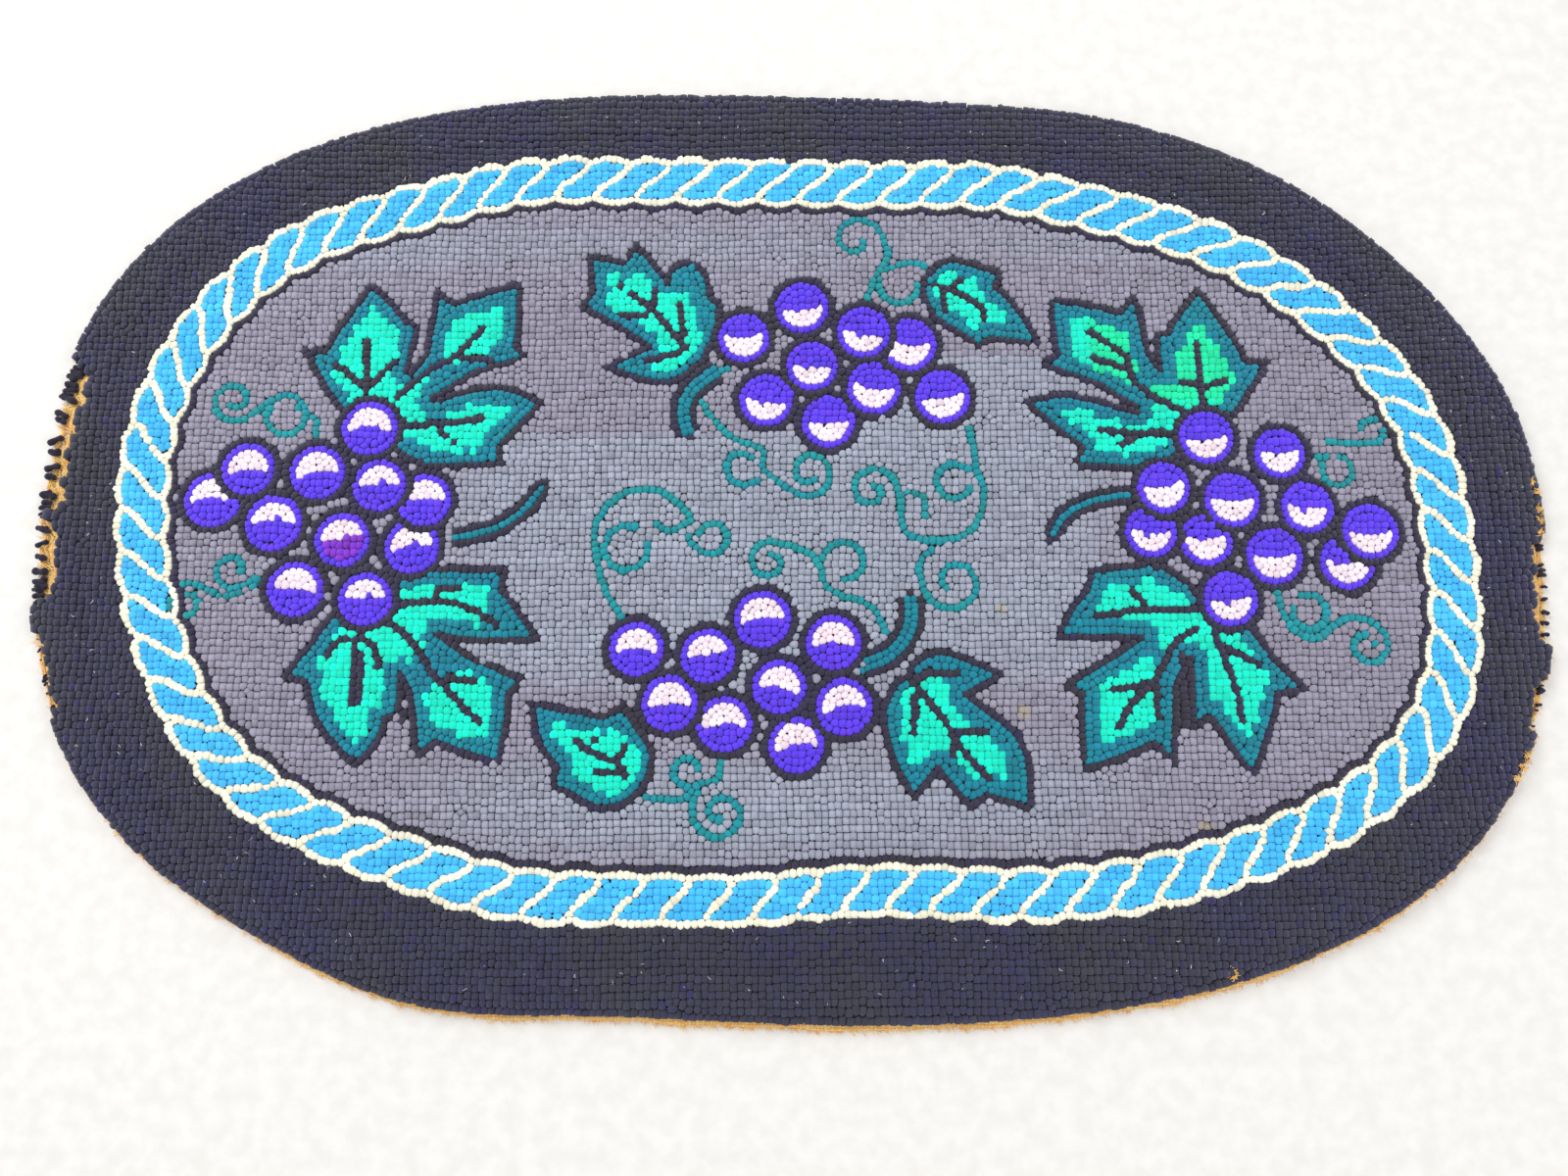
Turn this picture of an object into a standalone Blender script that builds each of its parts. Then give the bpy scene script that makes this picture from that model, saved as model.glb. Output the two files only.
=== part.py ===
"""A hooked wool rug: an oval of yarn loops pulled through a burlap ground cloth, lying flat on a floor.

The length runs along X, the width along Y and the floor is at Z = 0, with the origin under the middle
of the rug's box. The ground cloth's edge is turned under as a hem. The pile stands on the cloth as one
slab, with a shallow furrow on each side of its rope band. Where the edge is worn, the pile and the cloth
draw back and the cloth's loose threads lie outside.
"""

import math
import random
from collections import namedtuple

import bmesh
import bpy

# Heights in metres
CLOTH = 0.0012  # the burlap's thickness
FOLD_GAP = 0.0004  # between the cloth and its turned-under hem
PIECE_GAP = 0.0003  # between two pieces
PILE = 0.0060  # the loops, above the cloth
FURROW = 0.0011  # depth of the furrow beside the rope band
LUMP = 0.0004  # unevenness of the loops' tops

# Widths in metres
HEM = 0.022  # the turned-under flap, from the rim
RISE_OUT = 0.025  # the cloth climbs over the hem between these two insets from the rim
RISE_IN = 0.033
ROPE_WIDTH = 0.033
FURROW_SIDE = 0.003  # half the furrow's width
CLOTH_SHOWS = 0.0035  # how far the hem's edge stands out from under the loops along the near side
CLOTH_HIDES = 0.0010  # how far it stays inside them along the far side
NEAR_SIDE_DEG = 278.0  # the bearing at which it stands out the most
CLOTH_LEFT = 0.0030  # bare cloth left outside the loops where the edge is worn

# The pile's rounded edge: how far in and how high each ring of it lies
EDGE_RINGS = ((0.0015, 0.0), (0.0004, 0.2), (0.0, 0.5), (0.0011, 0.85), (0.0034, 1.0))
FIELD_RINGS = (0.85, 0.68, 0.50, 0.32, 0.14)  # shares of the way from the middle to the rope band

# The rim and the middle line of the rope band: ovals with soft bulges at some bearings, as hooked by hand
Oval = namedtuple("Oval", "half_length half_width squareness turn_deg")
Bulge = namedtuple("Bulge", "bearing_deg spread_deg amount")
RIM = Oval(0.4775, 0.2980, 2.6, -1.8)
RIM_BULGES = (
    Bulge(22, 14, -0.015),
    Bulge(55, 10, 0.003),
    Bulge(90, 30, -0.002),
    Bulge(192, 12, -0.003),
    Bulge(232, 13, 0.014),
    Bulge(270, 30, 0.003),
)
ROPE = Oval(0.4130, 0.2335, 2.6, -1.6)
ROPE_BULGES = (
    Bulge(20, 12, -0.008),
    Bulge(60, 10, 0.005),
    Bulge(127, 10, 0.007),
    Bulge(150, 10, 0.007),
    Bulge(192, 12, -0.012),
    Bulge(234, 10, 0.006),
    Bulge(285, 18, -0.010),
    Bulge(342, 14, 0.009),
)

# The worn stretches: how deep the loops are gone, and how far past the rim the longest threads reach
Worn = namedtuple("Worn", "name first_deg last_deg bite reach_out")
WORN_EDGES = (
    Worn("left", 167.0, 185.6, 0.0160, 0.0010),
    Worn("left_low", 188.0, 195.6, 0.0060, 0.0010),
    Worn("right_low", 343.6, 348.6, 0.0075, 0.0005),
    Worn("right", 350.2, 359.4, 0.0100, 0.0010),
)
TONGUE = Bulge(179.4, 0.8, 0.0075)  # loops that still hold, in the left stretch
EASE_DEG = 1.2  # a worn stretch reaches its full depth within this
RAGGED = ((0.14, 2.3, 0.4), (0.09, 5.1, 1.7))  # share of the bite, waves for each degree, phase

# The loose threads of a worn stretch
STRIP_END_DEG = 1.5  # the strip that holds them stops this far inside the stretch
STRIP_OUT = 0.35  # the strip's outer edge, as a share of the way from the rim to the cloth's edge
THREADS_PER_STEP = 3
THREAD_SHARE = 0.36  # of each thread's room along the strip
THREAD_BENDS = 3
THREAD_TIP = 0.45  # the tip's width and height, as shares of the root's
THREAD_SHORT = 0.30  # the shortest thread, as a share of the longest
THREAD_DRIFT = 0.0007  # how far a thread wanders sideways

# The ovals' common middle, from the point under the middle of the whole rug's box
MIDDLE_X = 0.00095
MIDDLE_Y = 0.00336

# Stations round the rug, in degrees
STEP = 3.2
FINE_STEP = 0.9

COLLECTION = "hooked_rug"


def clear_scene():
    for thing in list(bpy.data.objects):
        bpy.data.objects.remove(thing, do_unlink=True)


def material(name, colour, roughness):
    made = bpy.data.materials.new(name)
    made.use_nodes = True
    shader = made.node_tree.nodes["Principled BSDF"]
    shader.inputs["Base Color"].default_value = (*colour, 1.0)
    shader.inputs["Roughness"].default_value = roughness
    shader.inputs["Metallic"].default_value = 0.0
    return made


def add_object(name, bm, finish, home):
    """One closed body from a bmesh, with its faces pointing out."""
    bmesh.ops.recalc_face_normals(bm, faces=bm.faces)
    mesh = bpy.data.meshes.new(name)
    bm.to_mesh(mesh)
    bm.free()
    mesh.materials.append(finish)
    made = bpy.data.objects.new(name, mesh)
    made.location = (MIDDLE_X, MIDDLE_Y, 0.0)
    home.objects.link(made)
    return made


def bump(bearing, bulge):
    """A soft rise round one bearing."""
    away = (bearing - bulge.bearing_deg + 180.0) % 360.0 - 180.0
    return bulge.amount * math.exp(-((away / bulge.spread_deg) ** 2))


def reach(bearing, oval, bulges):
    """Distance from the middle to an oval's line at a bearing."""
    angle = math.radians(bearing - oval.turn_deg)
    along = abs(math.cos(angle) / oval.half_length) ** oval.squareness
    across = abs(math.sin(angle) / oval.half_width) ** oval.squareness
    return (along + across) ** (-1.0 / oval.squareness) + sum(bump(bearing, b) for b in bulges)


def line_point(bearing, oval, bulges, inset):
    """A point on an oval's line, moved in square to it by inset."""
    here, before, after = (
        (r * math.cos(a), r * math.sin(a))
        for a, r in (
            (math.radians(b), reach(b, oval, bulges)) for b in (bearing, bearing - 0.5, bearing + 0.5)
        )
    )
    run, rise = after[0] - before[0], after[1] - before[1]
    length = math.hypot(run, rise)
    return here[0] - rise / length * inset, here[1] + run / length * inset


def rim_point(bearing, inset):
    return line_point(bearing, RIM, RIM_BULGES, inset)


def rope_point(bearing, inset):
    return line_point(bearing, ROPE, ROPE_BULGES, inset)


def wear(bearing):
    """How far the loops are worn back from the rim at a bearing."""
    depth = 0.0
    for worn in WORN_EDGES:
        inside = min(bearing - worn.first_deg, worn.last_deg - bearing)
        if inside > 0.0:
            ease = min(1.0, inside / EASE_DEG)
            waves = sum(share * math.sin(rate * bearing + phase) for share, rate, phase in RAGGED)
            depth += worn.bite * ease * (1.0 + waves * ease) - ease * bump(bearing, TONGUE)
    return depth


def cloth_inset(bearing):
    """How far inside the rim the cloth's edge lies: less than nothing where the hem stands out."""
    near_side = max(0.0, math.cos(math.radians(bearing - NEAR_SIDE_DEG)))
    shows = CLOTH_SHOWS * near_side**0.5
    worn_back = wear(bearing)
    return max(worn_back - CLOTH_LEFT, CLOTH_HIDES - shows) if worn_back else CLOTH_HIDES - shows


def stations():
    """Bearings round the rug, closer together along the worn stretches."""
    bearings, bearing = [], 0.0
    while bearing < 360.0 - 0.5 * FINE_STEP:
        bearings.append(bearing)
        near_wear = any(w.first_deg - STEP <= bearing <= w.last_deg for w in WORN_EDGES)
        bearing += FINE_STEP if near_wear else STEP
    return bearings


def lumps(x, y):
    """The gentle unevenness of the loops' tops."""
    waves = math.sin(31.0 * x + 17.0 * y) + math.sin(23.0 * x - 41.0 * y + 1.3) + math.sin(67.0 * y - 9.0 * x)
    return LUMP * waves / 3.0


def loft(bm, rings):
    """A closed body from rings of points, with its first and last ring filled to their middles."""
    loops = [[bm.verts.new(point) for point in ring] for ring in rings]
    count = len(loops[0])
    for low, high in zip(loops, loops[1:]):
        for i in range(count):
            j = (i + 1) % count
            bm.faces.new((low[i], low[j], high[j], high[i]))
    for loop in (loops[0], loops[-1]):
        middle = bm.verts.new((0.0, 0.0, loop[0].co.z))
        for i in range(count):
            bm.faces.new((loop[i], loop[(i + 1) % count], middle))


def cloth_section():
    """The cloth's section as (fixed to the rim, inset, height), from its top middle round to below.

    The points that aren't fixed to the rim are counted from the cloth's own edge.
    """
    top = 2.0 * CLOTH + FOLD_GAP
    outer, inner = top / 2.0, FOLD_GAP / 2.0
    section = [(True, RISE_IN, CLOTH), (True, RISE_OUT, top)]
    for turn in (90, 45, 0, -45, -90):
        angle = math.radians(turn)
        section.append((False, outer - outer * math.cos(angle), outer + outer * math.sin(angle)))
    section += [(True, HEM, 0.0), (True, HEM, CLOTH)]
    for turn in (-90, 0, 90):
        angle = math.radians(turn)
        section.append((False, outer - inner * math.cos(angle), outer + inner * math.sin(angle)))
    section += [(True, RISE_OUT, top - CLOTH), (True, RISE_IN, 0.0)]
    return section


def ground_cloth(bearings, home):
    """The burlap, one sheet with its edge turned under."""
    rings = []
    for fixed, inset, height in cloth_section():
        rings.append(
            [(*rim_point(b, inset if fixed else inset + cloth_inset(b)), height) for b in bearings]
        )
    bm = bmesh.new()
    loft(bm, rings)
    return add_object("ground_cloth", bm, material("burlap", (0.62, 0.42, 0.20), 0.9), home)


def hooked_pile(bearings, home):
    """The loops as one slab, standing on the cloth."""
    low = CLOTH + PIECE_GAP
    high = low + CLOTH + FOLD_GAP
    rings = [[(*rim_point(b, RISE_IN), low) for b in bearings]]
    rings.append([(*rim_point(b, RISE_OUT), high) for b in bearings])
    for inset, share in EDGE_RINGS:
        rings.append([(*rim_point(b, inset + wear(b)), high + share * PILE) for b in bearings])
    tops = [([rim_point(b, RISE_OUT) for b in bearings], high + PILE)]
    tops.append(([rim_point(b, RISE_IN) for b in bearings], low + PILE))
    for edge in (-ROPE_WIDTH / 2.0, ROPE_WIDTH / 2.0):
        for side, dip in ((-FURROW_SIDE, 0.0), (0.0, FURROW), (FURROW_SIDE, 0.0)):
            tops.append(([rope_point(b, edge + side) for b in bearings], low + PILE - dip))
    field = tops[-1][0]
    for share in FIELD_RINGS:
        tops.append(([(x * share, y * share) for x, y in field], low + PILE))
    for places, height in tops:
        rings.append([(x, y, height + lumps(x, y)) for x, y in places])
    level = sum(z for _, _, z in rings[-1]) / len(bearings)
    rings[-1] = [(x, y, level) for x, y, _ in rings[-1]]
    bm = bmesh.new()
    loft(bm, rings)
    return add_object("hooked_pile", bm, material("wool_yarn", (0.10, 0.10, 0.14), 0.95), home)


def outward(bearing):
    """The unit direction that points out of the rug at a bearing."""
    inner, outer = rim_point(bearing, 0.001), rim_point(bearing, 0.0)
    return (outer[0] - inner[0]) / 0.001, (outer[1] - inner[1]) / 0.001


def strip_stations(bearings, worn):
    """Stations along a strip: (inner point, outer point, bearing, whether a thread starts here)."""
    held = [b for b in bearings if worn.first_deg + STRIP_END_DEG <= b <= worn.last_deg - STRIP_END_DEG]
    found = []
    for first, last in zip(held, held[1:]):
        ends = [(rim_point(b, cloth_inset(b)), rim_point(b, STRIP_OUT * cloth_inset(b))) for b in (first, last)]
        shares = [(0.0, False)]
        for thread in range(THREADS_PER_STEP):
            middle = (thread + 0.5) / THREADS_PER_STEP
            half = THREAD_SHARE / THREADS_PER_STEP / 2.0
            shares += [(middle - half, True), (middle + half, False)]
        for share, starts in shares:
            bearing = first + (last - first) * share
            out = outward(bearing)
            inner, outer = (
                [a + (b - a) * share for a, b in zip(ends[0][edge], ends[1][edge])] for edge in (0, 1)
            )
            inner = [inner[0] + out[0] * 1.3 * PIECE_GAP, inner[1] + out[1] * 1.3 * PIECE_GAP]
            found.append((inner, outer, bearing, starts))
    return found


def frayed_edge(worn, bearings, home, finish, chance):
    """The narrow strip of cloth along a worn stretch, with its loose threads drawn out of its outer side."""
    places = strip_stations(bearings, worn)
    bm = bmesh.new()
    sections = []
    for inner, outer, _, _ in places:
        corners = ((*inner, 0.0), (*outer, 0.0), (*outer, CLOTH), (*inner, CLOTH))
        sections.append([bm.verts.new(corner) for corner in corners])
    roots = []
    for here, after, place in zip(sections, sections[1:], places):
        for i in range(4):
            j = (i + 1) % 4
            side = bm.faces.new((here[i], here[j], after[j], after[i]))
            if i == 1 and place[3]:
                roots.append((side, place[2]))
    bm.faces.new(sections[0])
    bm.faces.new(reversed(sections[-1]))
    for root, bearing in roots:
        draw_thread(bm, root, bearing, worn, chance)
    return add_object(f"frayed_edge_{worn.name}", bm, finish, home)


def draw_thread(bm, root, bearing, worn, chance):
    """Extrudes one side of the strip into a tapering thread that lies along the floor."""
    out = outward(bearing)
    along = (-out[1], out[0])
    longest = STRIP_OUT * cloth_inset(bearing) + worn.reach_out
    length = longest * (THREAD_SHORT + (1.0 - THREAD_SHORT) * chance.random())
    drift = THREAD_DRIFT * (2.0 * chance.random() - 1.0)
    centre = root.calc_center_median()
    spread = [((v.co.x - centre.x) * along[0] + (v.co.y - centre.y) * along[1], v.co.z) for v in root.verts]
    tip = root
    for bend in range(1, THREAD_BENDS + 1):
        share = bend / THREAD_BENDS
        width = 1.0 - (1.0 - THREAD_TIP) * share
        side = drift * math.sin(share * math.pi * 0.8)
        tip = bmesh.ops.extrude_discrete_faces(bm, faces=[tip])["faces"][0]
        for vert, (off, height) in zip(tip.verts, spread):
            vert.co.x = centre.x + out[0] * length * share + along[0] * (off * width + side)
            vert.co.y = centre.y + out[1] * length * share + along[1] * (off * width + side)
            vert.co.z = height * width


def build():
    clear_scene()
    home = bpy.data.collections.new(COLLECTION)
    bpy.context.scene.collection.children.link(home)
    bearings = stations()
    ground_cloth(bearings, home)
    hooked_pile(bearings, home)
    threads = material("burlap_threads", (0.75, 0.50, 0.22), 0.9)
    chance = random.Random(11)
    for worn in WORN_EDGES:
        frayed_edge(worn, bearings, home, threads, chance)


build()
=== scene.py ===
"""The looks of the hooked rug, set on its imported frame.

Every loop of the pile is modelled: rows of loops follow the rope band, the grapes, the leaves and the
tendrils, and straight rows fill the rest. The burlap under them is a woven sheet with its hem folded
under, and its worn edges are frayed into threads. All sizes are in metres, and motifs are charted in
loops from the middle of the rug.
"""

import logging
import math
from dataclasses import dataclass, field
from enum import Enum

import bmesh
import bpy
import numpy as np
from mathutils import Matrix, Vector, kdtree


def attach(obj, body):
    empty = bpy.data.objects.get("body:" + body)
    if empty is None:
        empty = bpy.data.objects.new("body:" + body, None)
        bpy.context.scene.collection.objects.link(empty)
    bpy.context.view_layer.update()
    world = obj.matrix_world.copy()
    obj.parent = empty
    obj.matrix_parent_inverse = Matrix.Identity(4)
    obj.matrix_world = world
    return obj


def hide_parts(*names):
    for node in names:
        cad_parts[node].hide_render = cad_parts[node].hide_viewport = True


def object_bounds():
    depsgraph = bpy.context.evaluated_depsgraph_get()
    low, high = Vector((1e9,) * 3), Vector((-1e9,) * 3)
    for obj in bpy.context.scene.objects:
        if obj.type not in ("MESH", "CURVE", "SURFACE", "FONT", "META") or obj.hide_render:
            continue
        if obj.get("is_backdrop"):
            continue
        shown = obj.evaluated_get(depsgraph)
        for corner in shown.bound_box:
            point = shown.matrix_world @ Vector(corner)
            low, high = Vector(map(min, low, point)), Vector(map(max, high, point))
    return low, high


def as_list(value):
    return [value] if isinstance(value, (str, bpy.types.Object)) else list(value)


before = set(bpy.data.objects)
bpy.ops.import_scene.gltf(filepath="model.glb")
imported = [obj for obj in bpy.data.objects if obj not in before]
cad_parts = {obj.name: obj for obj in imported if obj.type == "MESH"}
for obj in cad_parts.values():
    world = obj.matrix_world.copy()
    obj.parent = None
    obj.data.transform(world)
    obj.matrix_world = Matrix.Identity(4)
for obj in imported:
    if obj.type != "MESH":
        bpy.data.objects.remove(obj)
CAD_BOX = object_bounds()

LOG = logging.getLogger("rug")

# The rug's own measures, the same as in its source
CLOTH = 0.0012
FOLD_GAP = 0.0004
PIECE_GAP = 0.0003
PILE = 0.0060
LUMP = 0.0004
HEM = 0.022
RISE_OUT = 0.025
RISE_IN = 0.033
MIDDLE = (0.00095, 0.00336)

# The hooking
COLUMN = 0.0042  # from loop to loop along the rug
ROW = 0.00452  # from row to row across it
ROW_PITCH = 0.0042  # along a row that follows a line
ROW_CLEAR = 0.0031  # the least room a loop leaves to those hooked before it
LOOP_REACH = 0.0042  # a loop never swells further than this
CELL_SHARPNESS = 24.0  # how square the loops press each other
LOOP_DEPTH = 0.0021  # how deep the gaps between the loops are
BRIGHT_DEPTH = 0.0014  # the same between light yarns, which let light through
SHOULDER = 0.915  # width of a loop's rounded top, as a share of its room
FOOT_SPREAD = 1.04  # how far its foot spreads under its neighbours
FINE_SHOULDER = 0.935  # the same for the motifs' and the rope's yarns
FINE_SPREAD = 1.10
SHOULDER_DROP = 0.0007
VIEW_TONE = "Standard"


class Yarn(Enum):
    """The yarns of the pile, by where they are hooked."""

    BORDER = 0
    FIELD = 1
    ROPE = 2
    CREAM = 3
    GRAPE = 4
    HIGHLIGHT = 5
    LEAF = 6
    TEAL = 7
    OUTLINE = 8
    TENDRIL = 9


# Lines of the rug


@dataclass(frozen=True)
class Bulge:
    """A soft rise of a line round one bearing."""

    bearing_deg: float
    spread_deg: float
    amount: float

    def at(self, bearings: np.ndarray) -> np.ndarray:
        """The rise at some bearings.

        Args:
            bearings: Bearings in degrees.

        Returns:
            The rise at each, in metres.
        """
        away = (bearings - self.bearing_deg + 180.0) % 360.0 - 180.0
        return self.amount * np.exp(-((away / self.spread_deg) ** 2))


@dataclass(frozen=True)
class Oval:
    """A squarish oval round the rug's middle, with the soft bulges of hand work."""

    half_length: float
    half_width: float
    squareness: float
    turn_deg: float
    bulges: tuple[Bulge, ...]

    def reach(self, bearings: np.ndarray) -> np.ndarray:
        """Distance from the middle to the line.

        Args:
            bearings: Bearings in degrees.

        Returns:
            The distance at each.
        """
        angle = np.radians(bearings - self.turn_deg)
        along = np.abs(np.cos(angle) / self.half_length) ** self.squareness
        across = np.abs(np.sin(angle) / self.half_width) ** self.squareness
        line = (along + across) ** (-1.0 / self.squareness)
        return line + sum(bulge.at(bearings) for bulge in self.bulges)

    def points(self, bearings: np.ndarray, inset: np.ndarray | float) -> np.ndarray:
        """Points on the line, moved in square to it.

        Args:
            bearings: Bearings in degrees.
            inset: How far in each point lies.

        Returns:
            One point a row, from the rug's middle.
        """

        def place(at: np.ndarray) -> np.ndarray:
            """The line's points at some bearings."""
            angle = np.radians(at)
            return self.reach(at)[:, None] * np.stack([np.cos(angle), np.sin(angle)], axis=1)

        run = place(bearings + 0.5) - place(bearings - 0.5)
        run /= np.hypot(run[:, 0], run[:, 1])[:, None]
        inward = np.stack([-run[:, 1], run[:, 0]], axis=1)
        return place(bearings) + inward * np.broadcast_to(inset, bearings.shape)[:, None]

    def depth(self, x: np.ndarray, y: np.ndarray) -> np.ndarray:
        """How far inside the line some places lie, close to it.

        Args:
            x: Places along the rug.
            y: Places across it.

        Returns:
            The depth of each, less than nothing outside.
        """
        bearings = np.degrees(np.arctan2(y, x)) % 360.0
        here = self.reach(bearings)
        slope = (self.reach(bearings + 0.5) - self.reach(bearings - 0.5)) / math.radians(1.0)
        return (here - np.hypot(x, y)) / np.sqrt(1.0 + (slope / here) ** 2)


RIM = Oval(
    0.4775,
    0.2980,
    2.6,
    -1.8,
    (
        Bulge(22, 14, -0.015),
        Bulge(55, 10, 0.003),
        Bulge(90, 30, -0.002),
        Bulge(192, 12, -0.003),
        Bulge(232, 13, 0.014),
        Bulge(270, 30, 0.003),
    ),
)
ROPE_LINE = Oval(
    0.4130,
    0.2335,
    2.6,
    -1.6,
    (
        Bulge(20, 12, -0.008),
        Bulge(60, 10, 0.005),
        Bulge(127, 10, 0.007),
        Bulge(150, 10, 0.007),
        Bulge(192, 12, -0.012),
        Bulge(234, 10, 0.006),
        Bulge(285, 18, -0.010),
        Bulge(342, 14, 0.009),
    ),
)


@dataclass(frozen=True)
class Worn:
    """A stretch of the rim where the loops are gone."""

    name: str
    first_deg: float
    last_deg: float
    bite: float
    reach_out: float


@dataclass(frozen=True)
class WornRim:
    """The rim as it is worn: how far the loops and the burlap's edge draw back from it."""

    stretches: tuple[Worn, ...] = (
        Worn("left", 166.3, 186.7, 0.0160, 0.0010),
        Worn("left_low", 188.0, 195.6, 0.0060, 0.0010),
        Worn("right_low", 343.6, 348.6, 0.0075, 0.0005),
        Worn("right", 350.2, 359.4, 0.0100, 0.0010),
    )
    tongue: Bulge = Bulge(179.4, 0.8, 0.0075)
    ease_deg: float = 1.2
    ragged: tuple[tuple[float, float, float], ...] = ((0.14, 2.3, 0.4), (0.09, 5.1, 1.7))
    near_side_deg: float = 278.0
    shows: float = 0.0043
    hides: float = 0.0010
    left_bare: float = 0.0030
    left_bare_wide: float = 0.0028

    def wear(self, bearings: np.ndarray) -> np.ndarray:
        """How far the loops are worn back from the rim.

        Args:
            bearings: Bearings in degrees.

        Returns:
            The depth of the wear at each.
        """
        depth = np.zeros_like(bearings)
        waves = sum(share * np.sin(rate * bearings + phase) for share, rate, phase in self.ragged)
        for worn in self.stretches:
            inside = np.minimum(bearings - worn.first_deg, worn.last_deg - bearings)
            ease = np.clip(inside / self.ease_deg, 0.0, 1.0)
            depth += worn.bite * ease * (1.0 + waves * ease) - ease * self.tongue.at(bearings)
        return depth

    def cloth_inset(self, bearings: np.ndarray) -> np.ndarray:
        """How far inside the rim the burlap's edge lies.

        Args:
            bearings: Bearings in degrees.

        Returns:
            The inset at each, less than nothing where the hem stands out.
        """
        near_side = np.clip(np.cos(np.radians(bearings - self.near_side_deg)), 0.0, None)
        uneven = 1.0 + 0.20 * np.sin(0.55 * bearings + 1.2) * np.sin(0.19 * bearings)
        whole = self.hides - self.shows * np.sqrt(near_side) * uneven
        worn_back = self.wear(bearings)
        bare = self.left_bare + self.left_bare_wide * smooth_step(worn_back, 0.008, 0.011)
        return np.where(worn_back > 0.0, np.maximum(worn_back - bare, whole), whole)


WORN_RIM = WornRim()


def smooth_step(value: np.ndarray, low: float, high: float) -> np.ndarray:
    """A soft rise from 0 at low to 1 at high.

    Args:
        value: Values.
        low: Where the rise starts.
        high: Where it ends.

    Returns:
        The rise at each value.
    """
    share = np.clip((value - low) / (high - low), 0.0, 1.0)
    return share * share * (3.0 - 2.0 * share)


def through(points: np.ndarray, steps: int = 8) -> np.ndarray:
    """A smooth line through some points.

    Args:
        points: One point a row, in the line's order.
        steps: Steps from each point to the next.

    Returns:
        The line's points.
    """
    ends = np.vstack([2 * points[0] - points[1], points, 2 * points[-1] - points[-2]])
    t = (np.arange(steps) / steps)[:, None]
    parts = []
    for a, b, c, d in zip(ends, ends[1:], ends[2:], ends[3:]):
        parts.append(
            0.5 * (2 * b + (c - a) * t + (2 * a - 5 * b + 4 * c - d) * t**2 + (3 * b - 3 * c + d - a) * t**3)
        )
    return np.vstack([*parts, points[-1:]])


def lumps(x: np.ndarray, y: np.ndarray) -> np.ndarray:
    """The gentle unevenness of the pile's top, at some places."""
    waves = np.sin(31.0 * x + 17.0 * y) + np.sin(23.0 * x - 41.0 * y + 1.3) + np.sin(67.0 * y - 9.0 * x)
    return LUMP * waves / 3.0


# The loops


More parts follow.
